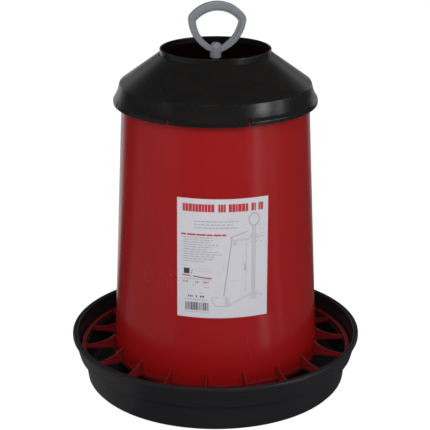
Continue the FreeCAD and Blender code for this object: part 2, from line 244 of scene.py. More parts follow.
class Effects:
    """The shader node groups that more than one finish uses."""

    def __init__(self) -> None:
        """Builds every group once."""
        self.tone = self._tone()
        self.skin = self._skin()
        self.scuffs = self._scuffs()
        self.dust = self._dust()
        self.wear = self._wear()

    def _tone(self) -> bpy.types.NodeTree:
        """Builds the slow change of colour over a moulding.

        Returns:
            The group's tree.
        """
        g, given, out = new_group(
            "tone_drift", "ShaderNodeTree",
            [("Colour", "NodeSocketColor", (0.5, 0.5, 0.5, 1)), ("Drift", "NodeSocketFloat", 0.1),
             ("Scale", "NodeSocketFloat", 6.0)],
            [("Colour", "NodeSocketColor")])
        place = g.place()
        broad = g.noise(place, given.outputs["Scale"], 2.0)
        fine = g.noise(place, g.math("MULTIPLY", given.outputs["Scale"], 23.0), 4.0, 0.65)
        blended = g.total(g.math("MULTIPLY", broad, 0.7), (fine, 0.3))
        swing = g.math("MULTIPLY", g.math("SUBTRACT", blended, 0.5), given.outputs["Drift"])
        value = g.total(1.0, (swing, 2.0))
        shifted = g.node("ShaderNodeHueSaturation", {"Color": given.outputs["Colour"], "Value": value})
        g.feed(out, {"Colour": shifted.outputs[0]})
        return g.tree

    def _skin(self) -> bpy.types.NodeTree:
        """Builds the relief of a moulded face: slow waves, fine peel and draw lines along Z.

        Returns:
            The group's tree.
        """
        g, given, out = new_group(
            "moulded_skin", "ShaderNodeTree",
            [("Waves", "NodeSocketFloat", 0.6), ("Peel", "NodeSocketFloat", 0.1),
             ("Draw Lines", "NodeSocketFloat", 0.1), ("Peel Scale", "NodeSocketFloat", 900.0)],
            [("Height", "NodeSocketFloat")])
        place = g.place()
        waves = g.noise(g.stretched(place, (1.0, 1.0, 0.35)), 14.0, 1.0)
        peel = g.noise(place, given.outputs["Peel Scale"], 2.0)
        lines = g.noise(g.stretched(place, (1.0, 1.0, 0.012)), 260.0, 3.0, 0.6)
        height = g.total(g.math("MULTIPLY", waves, given.outputs["Waves"]),
                         (peel, given.outputs["Peel"]), (lines, given.outputs["Draw Lines"]))
        g.feed(out, {"Height": height})
        return g.tree

    def _scuffs(self) -> bpy.types.NodeTree:
        """Builds thin broken scratches in two directions.

        Returns:
            The group's tree.
        """
        g, given, out = new_group(
            "scuffs", "ShaderNodeTree",
            [("Amount", "NodeSocketFloat", 0.3), ("Scale", "NodeSocketFloat", 30.0)],
            [("Mask", "NodeSocketFloat")])
        place = g.place()
        layers = []
        for turn, stretch in (((0.35, 0.2, 0.5), (1.0, 1.0, 0.16)), ((1.1, 0.4, -0.3), (0.2, 1.0, 1.0))):
            drawn = g.noise(g.stretched(place, stretch, turn), given.outputs["Scale"], 2.0)
            off_line = g.math("ABSOLUTE", g.math("SUBTRACT", drawn, 0.5))
            layers.append(g.ramp(off_line, 0.0, 0.0045, 1.0, 0.0))
        lines = g.math("MAXIMUM", layers[0], layers[1])
        patches = g.ramp(g.noise(place, 19.0, 2.0), 0.5, 0.68)
        broken = g.math("MULTIPLY", lines, patches)
        g.feed(out, {"Mask": g.math("MULTIPLY", broken, given.outputs["Amount"])})
        return g.tree

    def _dust(self) -> bpy.types.NodeTree:
        """Builds a film of feed dust that settles on faces that look up.

        Returns:
            The group's tree.
        """
        g, given, out = new_group(
            "settled_dust", "ShaderNodeTree",
            [("Amount", "NodeSocketFloat", 0.1), ("Scale", "NodeSocketFloat", 40.0)],
            [("Mask", "NodeSocketFloat")])
        up = g.node("ShaderNodeSeparateXYZ", {0: g.node("ShaderNodeNewGeometry").outputs["Normal"]})
        facing = g.ramp(up.outputs["Z"], 0.15, 0.95)
        place = g.place()
        clouds = g.ramp(g.noise(place, given.outputs["Scale"], 5.0, 0.7), 0.35, 0.7)
        specks = g.ramp(g.noise(place, 1500.0, 1.0), 0.62, 0.72)
        film = g.total(g.math("MULTIPLY", clouds, 0.7), (specks, 0.3))
        settled = g.math("MULTIPLY", g.math("MULTIPLY", film, facing), given.outputs["Amount"])
        g.feed(out, {"Mask": settled})
        return g.tree

    def _wear(self) -> bpy.types.NodeTree:
        """Builds rubbing along the edges that the mesh's edge attribute marks.

        Returns:
            The group's tree.
        """
        g, given, out = new_group(
            "edge_wear", "ShaderNodeTree",
            [("Amount", "NodeSocketFloat", 0.4), ("Scale", "NodeSocketFloat", 70.0)],
            [("Mask", "NodeSocketFloat")])
        edge = g.node("ShaderNodeAttribute", attribute_name=EDGE_LAYER).outputs["Fac"]
        rubbed = g.ramp(g.noise(g.place(), given.outputs["Scale"], 4.0, 0.65), 0.42, 0.66)
        worn = g.math("MULTIPLY", g.math("MULTIPLY", edge, rubbed), given.outputs["Amount"])
        g.feed(out, {"Mask": worn})
        return g.tree


def placed_group(graph: Graph, tree: bpy.types.NodeTree, inputs: dict) -> bpy.types.Node:
    """Puts a shared group into a material with its own values."""
    return graph.node("ShaderNodeGroup", inputs, node_tree=tree)


def started_material(name: str) -> tuple[bpy.types.Material, Graph, bpy.types.Node]:
    """Makes a material with an empty Principled BSDF.

    Args:
        name: The finish's name.

    Returns:
        The material, its graph and its Principled BSDF node.
    """
    material = bpy.data.materials.new(name)
    material.use_nodes = True
    graph = Graph(material.node_tree)
    return material, graph, material.node_tree.nodes["Principled BSDF"]


# ---- Finishes ----


@dataclass(frozen=True)
class MouldedFinish:
    """Injection-moulded plastic with relief, scuffs, dust and rubbed edges, and where given a painted shade
    that darkens the inner walls.
    """

    name: str
    colour: Colour
    worn_colour: Colour
    dust_colour: Colour
    roughness: float
    specular: float = 0.5
    drift: float = 0.10
    waves: float = 0.6
    peel: float = 0.05
    draw_lines: float = 0.05
    peel_scale: float = 900.0
    relief: float = 0.35
    scuffs: float = 0.35
    dust: float = 0.08
    wear: float = 0.4
    # Painted shade: the colour that inner walls darken to, standing in for the shadow inside a hollow part.
    painted_inner_shade: Optional[Colour] = None

    @staticmethod
    def inner_shade_mask(graph: Graph) -> bpy.types.NodeSocket:
        """Makes the mask of the painted shade: the faces that look at the feeder's axis.

        Args:
            graph: The material's nodes.

        Returns:
            A socket that is 1 on inner walls and 0 on outer ones.
        """
        place = graph.node("ShaderNodeSeparateXYZ", {0: graph.place()})
        normal = graph.node("ShaderNodeNewGeometry").outputs["Normal"]
        facing = graph.node("ShaderNodeSeparateXYZ", {0: normal})
        along_x = graph.math("MULTIPLY", place.outputs["X"], facing.outputs["X"])
        along_y = graph.math("MULTIPLY", place.outputs["Y"], facing.outputs["Y"])
        return graph.ramp(graph.math("ADD", along_x, along_y), -0.06, -0.02, 1.0, 0.0)

    def material(self, effects: Effects) -> bpy.types.Material:
        """Builds the material.

        Args:
            effects: The shared node groups.

        Returns:
            The finished material.
        """
        material, g, shader = started_material(self.name)
        toned = placed_group(g, effects.tone, {"Colour": (*self.colour, 1), "Drift": self.drift})
        scuffs = placed_group(g, effects.scuffs, {"Amount": self.scuffs}).outputs["Mask"]
        dust = placed_group(g, effects.dust, {"Amount": self.dust}).outputs["Mask"]
        worn = placed_group(g, effects.wear, {"Amount": self.wear}).outputs["Mask"]
        colour = g.mix(worn, toned.outputs["Colour"], (*self.worn_colour, 1))
        colour = g.mix(g.math("MULTIPLY", scuffs, 0.4), colour, (*self.worn_colour, 1))
        colour = g.mix(dust, colour, (*self.dust_colour, 1))
        # Painted shade: inner walls are mixed towards a near-black colour for the shadow inside.
        if self.painted_inner_shade:
            colour = g.mix(self.inner_shade_mask(g), colour, (*self.painted_inner_shade, 1))
        patchy = g.ramp(g.noise(g.place(), 9.0, 4.0, 0.6), 0.3, 0.7, -0.03, 0.05)
        rough = g.math("ADD", self.roughness, patchy)
        rough = g.total(rough, (scuffs, 0.25), (dust, 0.5), (worn, 0.2))
        skin = placed_group(g, effects.skin, {
            "Waves": self.waves, "Peel": self.peel, "Draw Lines": self.draw_lines,
            "Peel Scale": self.peel_scale})
        height = g.math("SUBTRACT", skin.outputs["Height"], g.math("MULTIPLY", scuffs, 0.06))
        bump = g.node("ShaderNodeBump", {"Height": height, "Distance": self.relief * MM})
        g.feed(shader, {"Base Color": colour, "Roughness": rough, "Normal": bump.outputs[0],
                        "Specular IOR Level": self.specular})
        return material


@dataclass(frozen=True)
class PlatedFinish:
    """Zinc-plated steel: dull grey with small crystals and darker pits."""

    name: str
    colour: Colour
    dark_colour: Colour
    roughness: float
    crystal_scale: float = 420.0
    relief: float = 0.02

    def material(self, effects: Effects) -> bpy.types.Material:
        """Builds the material.

        Args:
            effects: The shared node groups.

        Returns:
            The finished material.
        """
        material, g, shader = started_material(self.name)
        place = g.place()
        cells = g.node("ShaderNodeTexVoronoi", {"Vector": place, "Scale": self.crystal_scale})
        crystal = g.node("ShaderNodeSeparateColor", {0: cells.outputs["Color"]}).outputs[0]
        pits = g.ramp(g.noise(place, 160.0, 5.0, 0.7), 0.55, 0.72)
        worn = placed_group(g, effects.wear, {"Amount": 0.5}).outputs["Mask"]
        toned = placed_group(g, effects.tone, {"Colour": (*self.colour, 1), "Drift": 0.15, "Scale": 60.0})
        colour = g.mix(g.math("MULTIPLY", crystal, 0.35), toned.outputs["Colour"], (*self.dark_colour, 1))
        colour = g.mix(g.math("MULTIPLY", pits, 0.6), colour, (*self.dark_colour, 1))
        rough = g.total(self.roughness, (crystal, 0.12), (pits, 0.2), (worn, -0.1))
        bump = g.node("ShaderNodeBump", {"Height": crystal, "Distance": self.relief * MM})
        g.feed(shader, {"Base Color": colour, "Roughness": rough, "Normal": bump.outputs[0], "Metallic": 1.0})
        return material


@dataclass(frozen=True)
class PaperFinish:
    """Coated label paper, or the ink printed on it."""

    name: str
    colour: Colour
    shade_colour: Colour
    roughness: float
    mottle: float = 0.1
    relief: float = 0.25

    def material(self, effects: Effects) -> bpy.types.Material:
        """Builds the material.

        Args:
            effects: The shared node groups.

        Returns:
            The finished material.
        """
        material, g, shader = started_material(self.name)
        place = g.place()
        fibres = g.noise(g.stretched(place, (1.0, 1.0, 0.4)), 1400.0, 4.0, 0.7)
        stains = g.ramp(g.noise(place, 22.0, 4.0, 0.6), 0.45, 0.75)
        toned = placed_group(g, effects.tone, {"Colour": (*self.colour, 1), "Drift": self.mottle})
        colour = g.mix(g.math("MULTIPLY", stains, 0.25), toned.outputs["Colour"], (*self.shade_colour, 1))
        rough = g.ramp(fibres, 0.3, 0.7, self.roughness - 0.05, self.roughness + 0.05)
        height = g.total(g.noise(place, 38.0, 1.0), (fibres, 0.03))
        bump = g.node("ShaderNodeBump", {"Height": height, "Distance": self.relief * MM})
        g.feed(shader, {"Base Color": colour, "Roughness": rough, "Normal": bump.outputs[0]})
        return material


class Finish(Enum):
    """Every finish on the feeder; the first word of each pair is the record's material slot."""

    TRAY = ("black_tray_plastic", MouldedFinish(
        "black_tray_plastic", (0.0112, 0.0109, 0.0132), (0.026, 0.026, 0.028), (0.09, 0.08, 0.07),
        roughness=0.36, drift=0.14, relief=0.2, dust=0.02, draw_lines=0.12, wear=0.4))
    LID = ("black_lid_plastic", MouldedFinish(
        "black_lid_plastic", (0.0075, 0.0068, 0.0066), (0.045, 0.043, 0.042), (0.18, 0.16, 0.13),
        roughness=0.26, drift=0.12, relief=0.15, dust=0.02, draw_lines=0.35, wear=0.35))
    # The shell's inner walls carry painted shade: near-black, for the shadow inside the tube.
    SHELL = ("red_shell_plastic", MouldedFinish(
        "red_shell_plastic", (0.270, 0.0055, 0.0062), (0.36, 0.06, 0.06), (0.42, 0.26, 0.20),
        roughness=0.20, drift=0.05, relief=0.12, dust=0.02, draw_lines=0.25, scuffs=0.22, wear=0.4,
        painted_inner_shade=(0.050, 0.006, 0.005)))
    # The grille's red is about half the shell's: painted shade for the shadow it lies in, low in the tray.
    GRILLE = ("red_grille_plastic", MouldedFinish(
        "red_grille_plastic", (0.135, 0.0065, 0.0075), (0.20, 0.03, 0.03), (0.24, 0.15, 0.11),
        roughness=0.30, drift=0.08, relief=0.2, dust=0.05, scuffs=0.3, wear=0.5))
    HANDLE = ("grey_handle_plastic", MouldedFinish(
        "grey_handle_plastic", (0.185, 0.200, 0.218), (0.36, 0.37, 0.39), (0.30, 0.28, 0.25),
        roughness=0.48, drift=0.06, waves=0.2, peel=0.35, peel_scale=1700.0, relief=0.12, wear=0.5))
    NUT = ("black_nut_plastic", MouldedFinish(
        "black_nut_plastic", (0.02, 0.02, 0.021), (0.08, 0.08, 0.08), (0.2, 0.18, 0.14),
        roughness=0.46, peel=0.3, peel_scale=1500.0, relief=0.15, dust=0.15, wear=0.6))
    BRIDGE = ("black_bridge_plastic", MouldedFinish(
        "black_bridge_plastic", (0.02, 0.02, 0.021), (0.08, 0.08, 0.08), (0.24, 0.20, 0.15),
        roughness=0.44, peel=0.2, peel_scale=1200.0, relief=0.2, dust=0.22))
    ZINC = ("zinc_steel", PlatedFinish("zinc_steel", (0.56, 0.57, 0.59), (0.30, 0.31, 0.33), 0.30))
    PAPER = ("label_paper", PaperFinish("label_paper", (0.53, 0.525, 0.565), (0.50, 0.48, 0.46), 0.42))
    RED_INK = ("label_paper", PaperFinish("label_red_ink", (0.42, 0.02, 0.025), (0.5, 0.1, 0.1), 0.40))
    BLACK_INK = ("label_paper", PaperFinish("label_black_ink", (0.05, 0.05, 0.055), (0.1, 0.1, 0.1), 0.40))
    GREY_INK = ("label_paper", PaperFinish("label_grey_ink", (0.33, 0.33, 0.36), (0.4, 0.4, 0.42), 0.42))
    FAINT_INK = ("label_paper", PaperFinish("label_faint_ink", (0.44, 0.44, 0.475), (0.5, 0.5, 0.52), 0.42))

    @property
    def slot(self) -> str:
        """Returns the record's material slot."""
        return self.value[0]


class Paintbox:
    """Builds each finish's material when it is first asked for."""

    def __init__(self) -> None:
        """Starts with the shared effects and no materials."""
        self.effects = Effects()
        self.made: dict[Finish, bpy.types.Material] = {}

    def get(self, finish: Finish) -> bpy.types.Material:
        """Returns the material of a finish.

        Args:
            finish: The finish.

        Returns:
            The finish's material.
        """
        if finish not in self.made:
            self.made[finish] = finish.value[1].material(self.effects)
        return self.made[finish]


# ---- Turned outlines ----


@dataclass(frozen=True)
class Corner:
    """A corner of a turned outline, in millimetres, with its rounding and how much its edge is rubbed."""

    radius: float
    height: float
    rounding: float = 0.0
    wear: float = 0.0


@dataclass(frozen=True)
class Station:
    """A point of a finished outline, in metres."""

    radius: float
    height: float
    wear: float = 0.0

    def towards(self, other: "Station", share: float) -> "Station":
        """Returns a point on the way to another station, without wear."""
        return Station(self.radius + (other.radius - self.radius) * share,
                       self.height + (other.height - self.height) * share)

    def distance(self, other: "Station") -> float:
        """Returns the distance to another station."""
        return math.hypot(other.radius - self.radius, other.height - self.height)


class Outline:
    """Turns rounded corners into stations that are close together where the line bends."""

    STEP = math.radians(11)
    LONGEST_CHORD = 4.0
    HOLD = 0.4 * MM
    LONGEST_SPAN = 14.0 * MM

    def __init__(self, corners: Sequence[Corner], closed: bool = True) -> None:
        """Takes the corners.

        Args:
            corners: The corners in order.
            closed: Whether the last corner joins the first; an open outline starts and ends on the axis.
        """
        self.corners = list(corners)
        self.closed = closed

    def stations(self) -> list[Station]:
        """Works out the whole outline.

        Returns:
            The outline's points, with extra ones that keep flat stretches flat.
        """
        bent: list[Station] = []
        for index, corner in enumerate(self.corners):
            at_end = not self.closed and index in (0, len(self.corners) - 1)
            if corner.rounding <= 0 or at_end:
                bent.append(Station(corner.radius * MM, corner.height * MM, corner.wear))
            else:
                bent.extend(self._bend(index))
        spans = list(zip(bent, bent[1:] + bent[:1])) if self.closed else list(zip(bent, bent[1:]))
        result: list[Station] = []
        for start, end in spans:
            result.append(start)
            result.extend(self._fill(start, end))
        if not self.closed:
            result.append(bent[-1])
        return result

    def _bend(self, index: int) -> list[Station]:
        """Rounds one corner.

        Args:
            index: The corner's number.

        Returns:
            The points of the arc in its place.
        """
        corner = self.corners[index]
        before = self.corners[index - 1]
        after = self.corners[(index + 1) % len(self.corners)]
        here = Vector((corner.radius, corner.height))
        back = Vector((before.radius, before.height)) - here
        ahead = Vector((after.radius, after.height)) - here
        room = 0.48 * min(back.length, ahead.length)
        back.normalize()
        ahead.normalize()
        half = max(back.angle(ahead) / 2, 1e-4)
        radius = min(corner.rounding, room * math.tan(half))
        centre = here + (back + ahead).normalized() * (radius / math.sin(half))
        start = here + back * (radius / math.tan(half)) - centre
        turn = math.pi - 2 * half
        side = 1 if back.x * ahead.y - back.y * ahead.x < 0 else -1
        count = max(2, math.ceil(turn / self.STEP), math.ceil(radius * turn / self.LONGEST_CHORD))
        arc = []
        for step in range(count + 1):
            share = step / count
            angle = side * turn * share
            x = start.x * math.cos(angle) - start.y * math.sin(angle)
            y = start.x * math.sin(angle) + start.y * math.cos(angle)
            wear = corner.wear * (1 - 0.7 * abs(2 * share - 1))
            arc.append(Station((centre.x + x) * MM, (centre.y + y) * MM, wear))
        return arc

    def _fill(self, start: Station, end: Station) -> list[Station]:
        """Divides one straight span.

        Args:
            start: The span's first end.
            end: The span's other end.

        Returns:
            The points between the two ends.
        """
        length = start.distance(end)
        if length < 5 * self.HOLD:
            return []
        shares = [self.HOLD / length]
        count = math.ceil(length / self.LONGEST_SPAN)
        shares += [step / count for step in range(1, count)]
        shares.append(1 - self.HOLD / length)
        return [start.towards(end, share) for share in shares]


def finished_mesh(bm: bmesh.types.BMesh, name: str,
                  crease: Optional[float] = CREASE_DEGREES) -> bpy.types.Mesh:
    """Makes a mesh with outward normals out of a closed BMesh, and frees that.

    Args:
        bm: The closed surface.
        name: The mesh's name.
        crease: Edges that bend more than this many degrees stay sharp; with None all faces stay flat.

    Returns:
        The mesh.
    """
    bmesh.ops.recalc_face_normals(bm, faces=bm.faces)
    mesh = bpy.data.meshes.new(name)
    bm.to_mesh(mesh)
    bm.free()
    if crease is not None:
        smooth(mesh, crease)
    return mesh


def turned(name: str, stations: Sequence[Station], closed: bool = True, segments: int = TURNED_SEGMENTS,
           rule: Optional[RadiusRule] = None) -> bpy.types.Mesh:
    """Turns an outline about Z into a closed mesh.

    Args:
        name: The mesh's name.
        stations: The outline.
        closed: Whether the outline is a loop; an open one starts and ends on the axis.
        segments: Number of steps round the axis.
        rule: Gives the radius from a station's radius, its height and the angle, all in metres and radians.

    Returns:
        The mesh, with its edge attribute filled.
    """
    bm = bmesh.new()
    layer = bm.verts.layers.float.new(EDGE_LAYER)
    rings = []
    for station in stations:
        if station.radius < 1e-9:
            rings.append([bm.verts.new((0, 0, station.height))])
            continue
        ring = []
        for step in range(segments):
            angle = FULL_TURN * step / segments
            radius = rule(station.radius, station.height, angle) if rule else station.radius
            vertex = bm.verts.new((radius * math.sin(angle), -radius * math.cos(angle), station.height))
            vertex[layer] = station.wear
            ring.append(vertex)
        rings.append(ring)
    pairs = list(zip(rings, rings[1:])) + ([(rings[-1], rings[0])] if closed else [])
    for lower, upper in pairs:
        for step in range(segments):
            ahead = (step + 1) % segments
            corners = [lower[step % len(lower)], lower[ahead % len(lower)],
                       upper[ahead % len(upper)], upper[step % len(upper)]]
            bm.faces.new(list(dict.fromkeys(corners)))
    return finished_mesh(bm, name)


def smooth(mesh: bpy.types.Mesh, crease: float = CREASE_DEGREES) -> None:
    """Shades a mesh smoothly, apart from edges that bend more than the crease, in degrees."""
    mesh.shade_smooth()
    mesh.set_sharp_from_angle(angle=math.radians(crease))


def slab(name: str, outline: Sequence[Pair], thickness: float, bevel: float = 0.0) -> bpy.types.Mesh:
    """Makes a flat plate that stands on the front-to-back plane, reaching towards -Y.

    Args:
        name: The mesh's name.
        outline: Distance from the axis and height of each corner, in millimetres.
        thickness: In millimetres.
        bevel: Width of the bevel along every sharp edge, in millimetres.

    Returns:
        The closed mesh.
    """
    bm = bmesh.new()
    layer = bm.verts.layers.float.new(EDGE_LAYER)
    half = thickness / 2 * MM
    sides = [[bm.verts.new((x, -r * MM, z * MM)) for r, z in outline] for x in (-half, half)]
    bm.faces.new(sides[0])
    bm.faces.new(list(reversed(sides[1])))
    count = len(outline)
    for step in range(count):
        ahead = (step + 1) % count
        bm.faces.new((sides[0][ahead], sides[0][step], sides[1][step], sides[1][ahead]))
    bmesh.ops.recalc_face_normals(bm, faces=bm.faces)
    if bevel > 0:
        sharp = [edge for edge in bm.edges if edge.calc_face_angle() > math.radians(30)]
        rounded = bmesh.ops.bevel(bm, geom=sharp, offset=bevel * MM, segments=2, profile=0.6,
                                  affect="EDGES", clamp_overlap=True)
        for face in rounded["faces"]:
            for vertex in face.verts:
                vertex[layer] = 0.8
    return finished_mesh(bm, name)


def arc_through(start: Pair, middle: Pair, end: Pair, count: int) -> list[Pair]:
    """Divides the arc through three points.

    Args:
        start: Where the arc starts.
        middle: A point on the way.
        end: Where it ends.
        count: Number of equal parts.

    Returns:
        The points on the arc, both ends included.
    """
    (ax, ay), (bx, by), (cx, cy) = start, middle, end
    d = 2 * (ax * (by - cy) + bx * (cy - ay) + cx * (ay - by))
    a2, b2, c2 = ax * ax + ay * ay, bx * bx + by * by, cx * cx + cy * cy
    ux = (a2 * (by - cy) + b2 * (cy - ay) + c2 * (ay - by)) / d
    uy = (a2 * (cx - bx) + b2 * (ax - cx) + c2 * (bx - ax)) / d
    radius = math.hypot(ax - ux, ay - uy)
    angles = [math.atan2(y - uy, x - ux) for x, y in (start, middle, end)]
    for index in (1, 2):
        while angles[index] - angles[index - 1] > math.pi:
            angles[index] -= FULL_TURN
        while angles[index] - angles[index - 1] < -math.pi:
            angles[index] += FULL_TURN
    swept = [angles[0] + (angles[2] - angles[0]) * step / count for step in range(count + 1)]
    return [(ux + radius * math.cos(a), uy + radius * math.sin(a)) for a in swept]


# ---- Geometry Nodes and mesh finishing ----


class RingArray:
    """Geometry Nodes tree that repeats a mesh round the Z axis."""

    def __init__(self) -> None:
        """Builds the tree."""
        g, given, out = new_group(
            "ring_array", "GeometryNodeTree",
            [("Geometry", "NodeSocketGeometry", None), ("Count", "NodeSocketInt", 8),
             ("First Angle", "NodeSocketFloat", 0.0), ("Stray", "NodeSocketFloat", 0.0),
             ("Seed", "NodeSocketInt", 1), ("Finish", "NodeSocketMaterial", None)],
            [("Geometry", "NodeSocketGeometry")])
        points = g.node("GeometryNodePoints", {"Count": given.outputs["Count"]})
        index = g.node("GeometryNodeInputIndex").outputs[0]
        step = g.math("DIVIDE", FULL_TURN, given.outputs["Count"])
        stray = g.node("FunctionNodeRandomValue", {"Seed": given.outputs["Seed"]}, data_type="FLOAT")
        for name, value in (("Min", -1.0), ("Max", 1.0)):
            next(s for s in stray.inputs if s.name == name and s.type == "VALUE").default_value = value
        drawn = next(s for s in stray.outputs if s.type == "VALUE")
        angle = g.math("ADD", g.math("MULTIPLY", index, step), given.outputs["First Angle"])
        angle = g.math("ADD", angle, g.math("MULTIPLY", drawn, given.outputs["Stray"]))
        euler = g.node("ShaderNodeCombineXYZ", {"Z": angle})
        turn = g.node("FunctionNodeEulerToRotation", {0: euler.outputs[0]})
        copies = g.node("GeometryNodeInstanceOnPoints", {
            "Points": points.outputs[0], "Instance": given.outputs["Geometry"], "Rotation": turn.outputs[0]})
        real = g.node("GeometryNodeRealizeInstances", {0: copies.outputs[0]})
        dressed = g.node("GeometryNodeSetMaterial", {
            "Geometry": real.outputs[0], "Material": given.outputs["Finish"]})
        g.feed(out, {0: dressed.outputs[0]})
        self.tree = g.tree

    def repeat(self, piece: bpy.types.Object, count: int, first_degrees: float,
               finish: Optional[bpy.types.Material] = None, stray_degrees: float = 0.0,
               seed: int = 1) -> None:
        """Repeats a piece's mesh round the axis and keeps the result as its mesh.

        Args:
            piece: The object with one copy's mesh, at zero degrees, which is the front.
            count: Number of copies.
            first_degrees: Angle of the first copy.
            finish: The copies' material.
            stray_degrees: How far a copy may stray from its angle.
            seed: Seed of the stray.
        """
        values = {"Count": count, "First Angle": math.radians(first_degrees),
                  "Stray": math.radians(stray_degrees), "Seed": seed, "Finish": finish}
        run_tree(piece, self.tree, values)


class ThreadTree:
    """Geometry Nodes tree that winds a rounded screw thread on a spiral."""

    def __init__(self) -> None:
        """Builds the tree."""
        g, given, out = new_group(
            "screw_thread", "GeometryNodeTree",
            [("Geometry", "NodeSocketGeometry", None), ("Turns", "NodeSocketFloat", 10.0),
             ("Radius", "NodeSocketFloat", 4.5 * MM), ("Ridge", "NodeSocketFloat", 0.5 * MM),
             ("Bottom", "NodeSocketFloat", 0.0), ("Height", "NodeSocketFloat", 0.1),
             ("Finish", "NodeSocketMaterial", None)],
            [("Geometry", "NodeSocketGeometry")])
        spiral = g.node("GeometryNodeCurveSpiral", {
            "Resolution": 20, "Rotations": given.outputs["Turns"], "Start Radius": given.outputs["Radius"],
            "End Radius": given.outputs["Radius"], "Height": given.outputs["Height"]})
        lift = g.node("ShaderNodeCombineXYZ", {"Z": given.outputs["Bottom"]})
        lifted = g.node("GeometryNodeSetPosition", {"Geometry": spiral.outputs[0], "Offset": lift.outputs[0]})
        along = g.node("GeometryNodeSplineParameter").outputs["Factor"]
        run_in = g.ramp(along, 0.0, 0.004, 0.15, 1.0)
        run_out = g.ramp(along, 0.996, 1.0, 1.0, 0.15)
        tapered = g.node("GeometryNodeSetCurveRadius", {
            "Curve": lifted.outputs[0], "Radius": g.math("MULTIPLY", run_in, run_out)})
        section = g.node("GeometryNodeCurvePrimitiveCircle", {
            "Resolution": 5, "Radius": given.outputs["Ridge"]}, mode="RADIUS")
        swept = g.node("GeometryNodeCurveToMesh", {
            "Curve": tapered.outputs[0], "Profile Curve": section.outputs[0], "Fill Caps": True})
        joined = g.node("GeometryNodeJoinGeometry")
        g.tree.links.new(swept.outputs[0], joined.inputs[0])
        g.tree.links.new(given.outputs["Geometry"], joined.inputs[0])
        real = g.node("GeometryNodeRealizeInstances", {0: joined.outputs[0]})
        dressed = g.node("GeometryNodeSetMaterial", {
            "Geometry": real.outputs[0], "Material": given.outputs["Finish"]})
        g.feed(out, {0: dressed.outputs[0]})
        self.tree = g.tree


def run_tree(piece: bpy.types.Object, tree: bpy.types.NodeTree, values: dict) -> None:
    """Runs a Geometry Nodes tree on a piece with named inputs and keeps the result as its plain mesh.

    Args:
        piece: The object that takes the tree.
        tree: The Geometry Nodes tree.
        values: The tree's inputs by name; None is left at its default.
    """
    modifier = piece.modifiers.new(tree.name, "NODES")
    modifier.node_group = tree
    identifiers = {item.name: item.identifier for item in tree.interface.items_tree
                   if item.item_type == "SOCKET" and item.in_out == "INPUT"}
    for name, value in values.items():
        if value is not None:
            modifier[identifiers[name]] = value
    keep_result(piece)


def keep_result(piece: bpy.types.Object) -> None:
    """Replaces a piece's mesh by its evaluated one and removes its modifiers.

    Args:
        piece: The object.
    """
    bpy.context.view_layer.update()
    depsgraph = bpy.context.evaluated_depsgraph_get()
    result = bpy.data.meshes.new_from_object(piece.evaluated_get(depsgraph))
    piece.modifiers.clear()
    piece.data = result


def loose_object(name: str, mesh: bpy.types.Mesh) -> bpy.types.Object:
    """Puts a mesh into the scene as an object at the origin.

    Args:
        name: The name.
        mesh: The mesh.

    Returns:
        The new object.
    """
    piece = bpy.data.objects.new(name, mesh)
    bpy.context.scene.collection.objects.link(piece)
    return piece


def combine(piece: bpy.types.Object, tool: bpy.types.Object, way: Solid) -> None:
    """Joins or cuts a closed mesh with another, which is then removed.

    Args:
        piece: The object that keeps the result.
        tool: The other closed mesh.
        way: How the two are put together.
    """
    modifier = piece.modifiers.new("combine", "BOOLEAN")
    modifier.operation = way.value
    modifier.solver = "EXACT"
    modifier.object = tool
    keep_result(piece)
    bpy.data.objects.remove(tool)
    tidy(piece.data)


def tidy(mesh: bpy.types.Mesh) -> None:
    """Merges doubled points that a cut leaves, and sets the shading again.

    Args:
        mesh: The mesh to tidy.
    """
    bm = bmesh.new()
    bm.from_mesh(mesh)
    bmesh.ops.remove_doubles(bm, verts=bm.verts, dist=DOUBLED)
    bmesh.ops.dissolve_degenerate(bm, edges=bm.edges, dist=DOUBLED)
    bm.to_mesh(mesh)
    bm.free()
    smooth(mesh)


def dress(piece: bpy.types.Object, material: bpy.types.Material) -> None:
    """Gives the whole piece one material."""
    piece.data.materials.clear()
    piece.data.materials.append(material)


@dataclass
class Workshop:
    """What every sub-assembly needs: the finishes and the trees."""

    paint: Paintbox
    ring: RingArray
    thread: ThreadTree

    def deliver(self, piece: bpy.types.Object, body: Body, finish: Finish, *nodes: str) -> None:
        """Hands a finished piece to its body.

        Args:
            piece: The finished object.
            body: The body it rides on.
            finish: Its finish.
            *nodes: The CAD nodes it stands for.
        """
        dress(piece, self.paint.get(finish))
        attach(piece, body.value)
        if nodes:
            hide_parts(*nodes)
        log.info("%s: %d faces, on %s", piece.name, len(piece.data.polygons), body.value)

    def dress_node(self, name: str, finish: Finish) -> None:
        """Gives a carried-over CAD node its finish.

        Args:
            name: The node's name.
            finish: Its finish.
        """
        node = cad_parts[name]
        material = self.paint.get(finish)
        if not node.data.materials:
            node.data.materials.append(material)
        for slot in node.material_slots:
            slot.material = material
        log.info("%s: CAD node kept", name)


# ---- Sub-assemblies ----


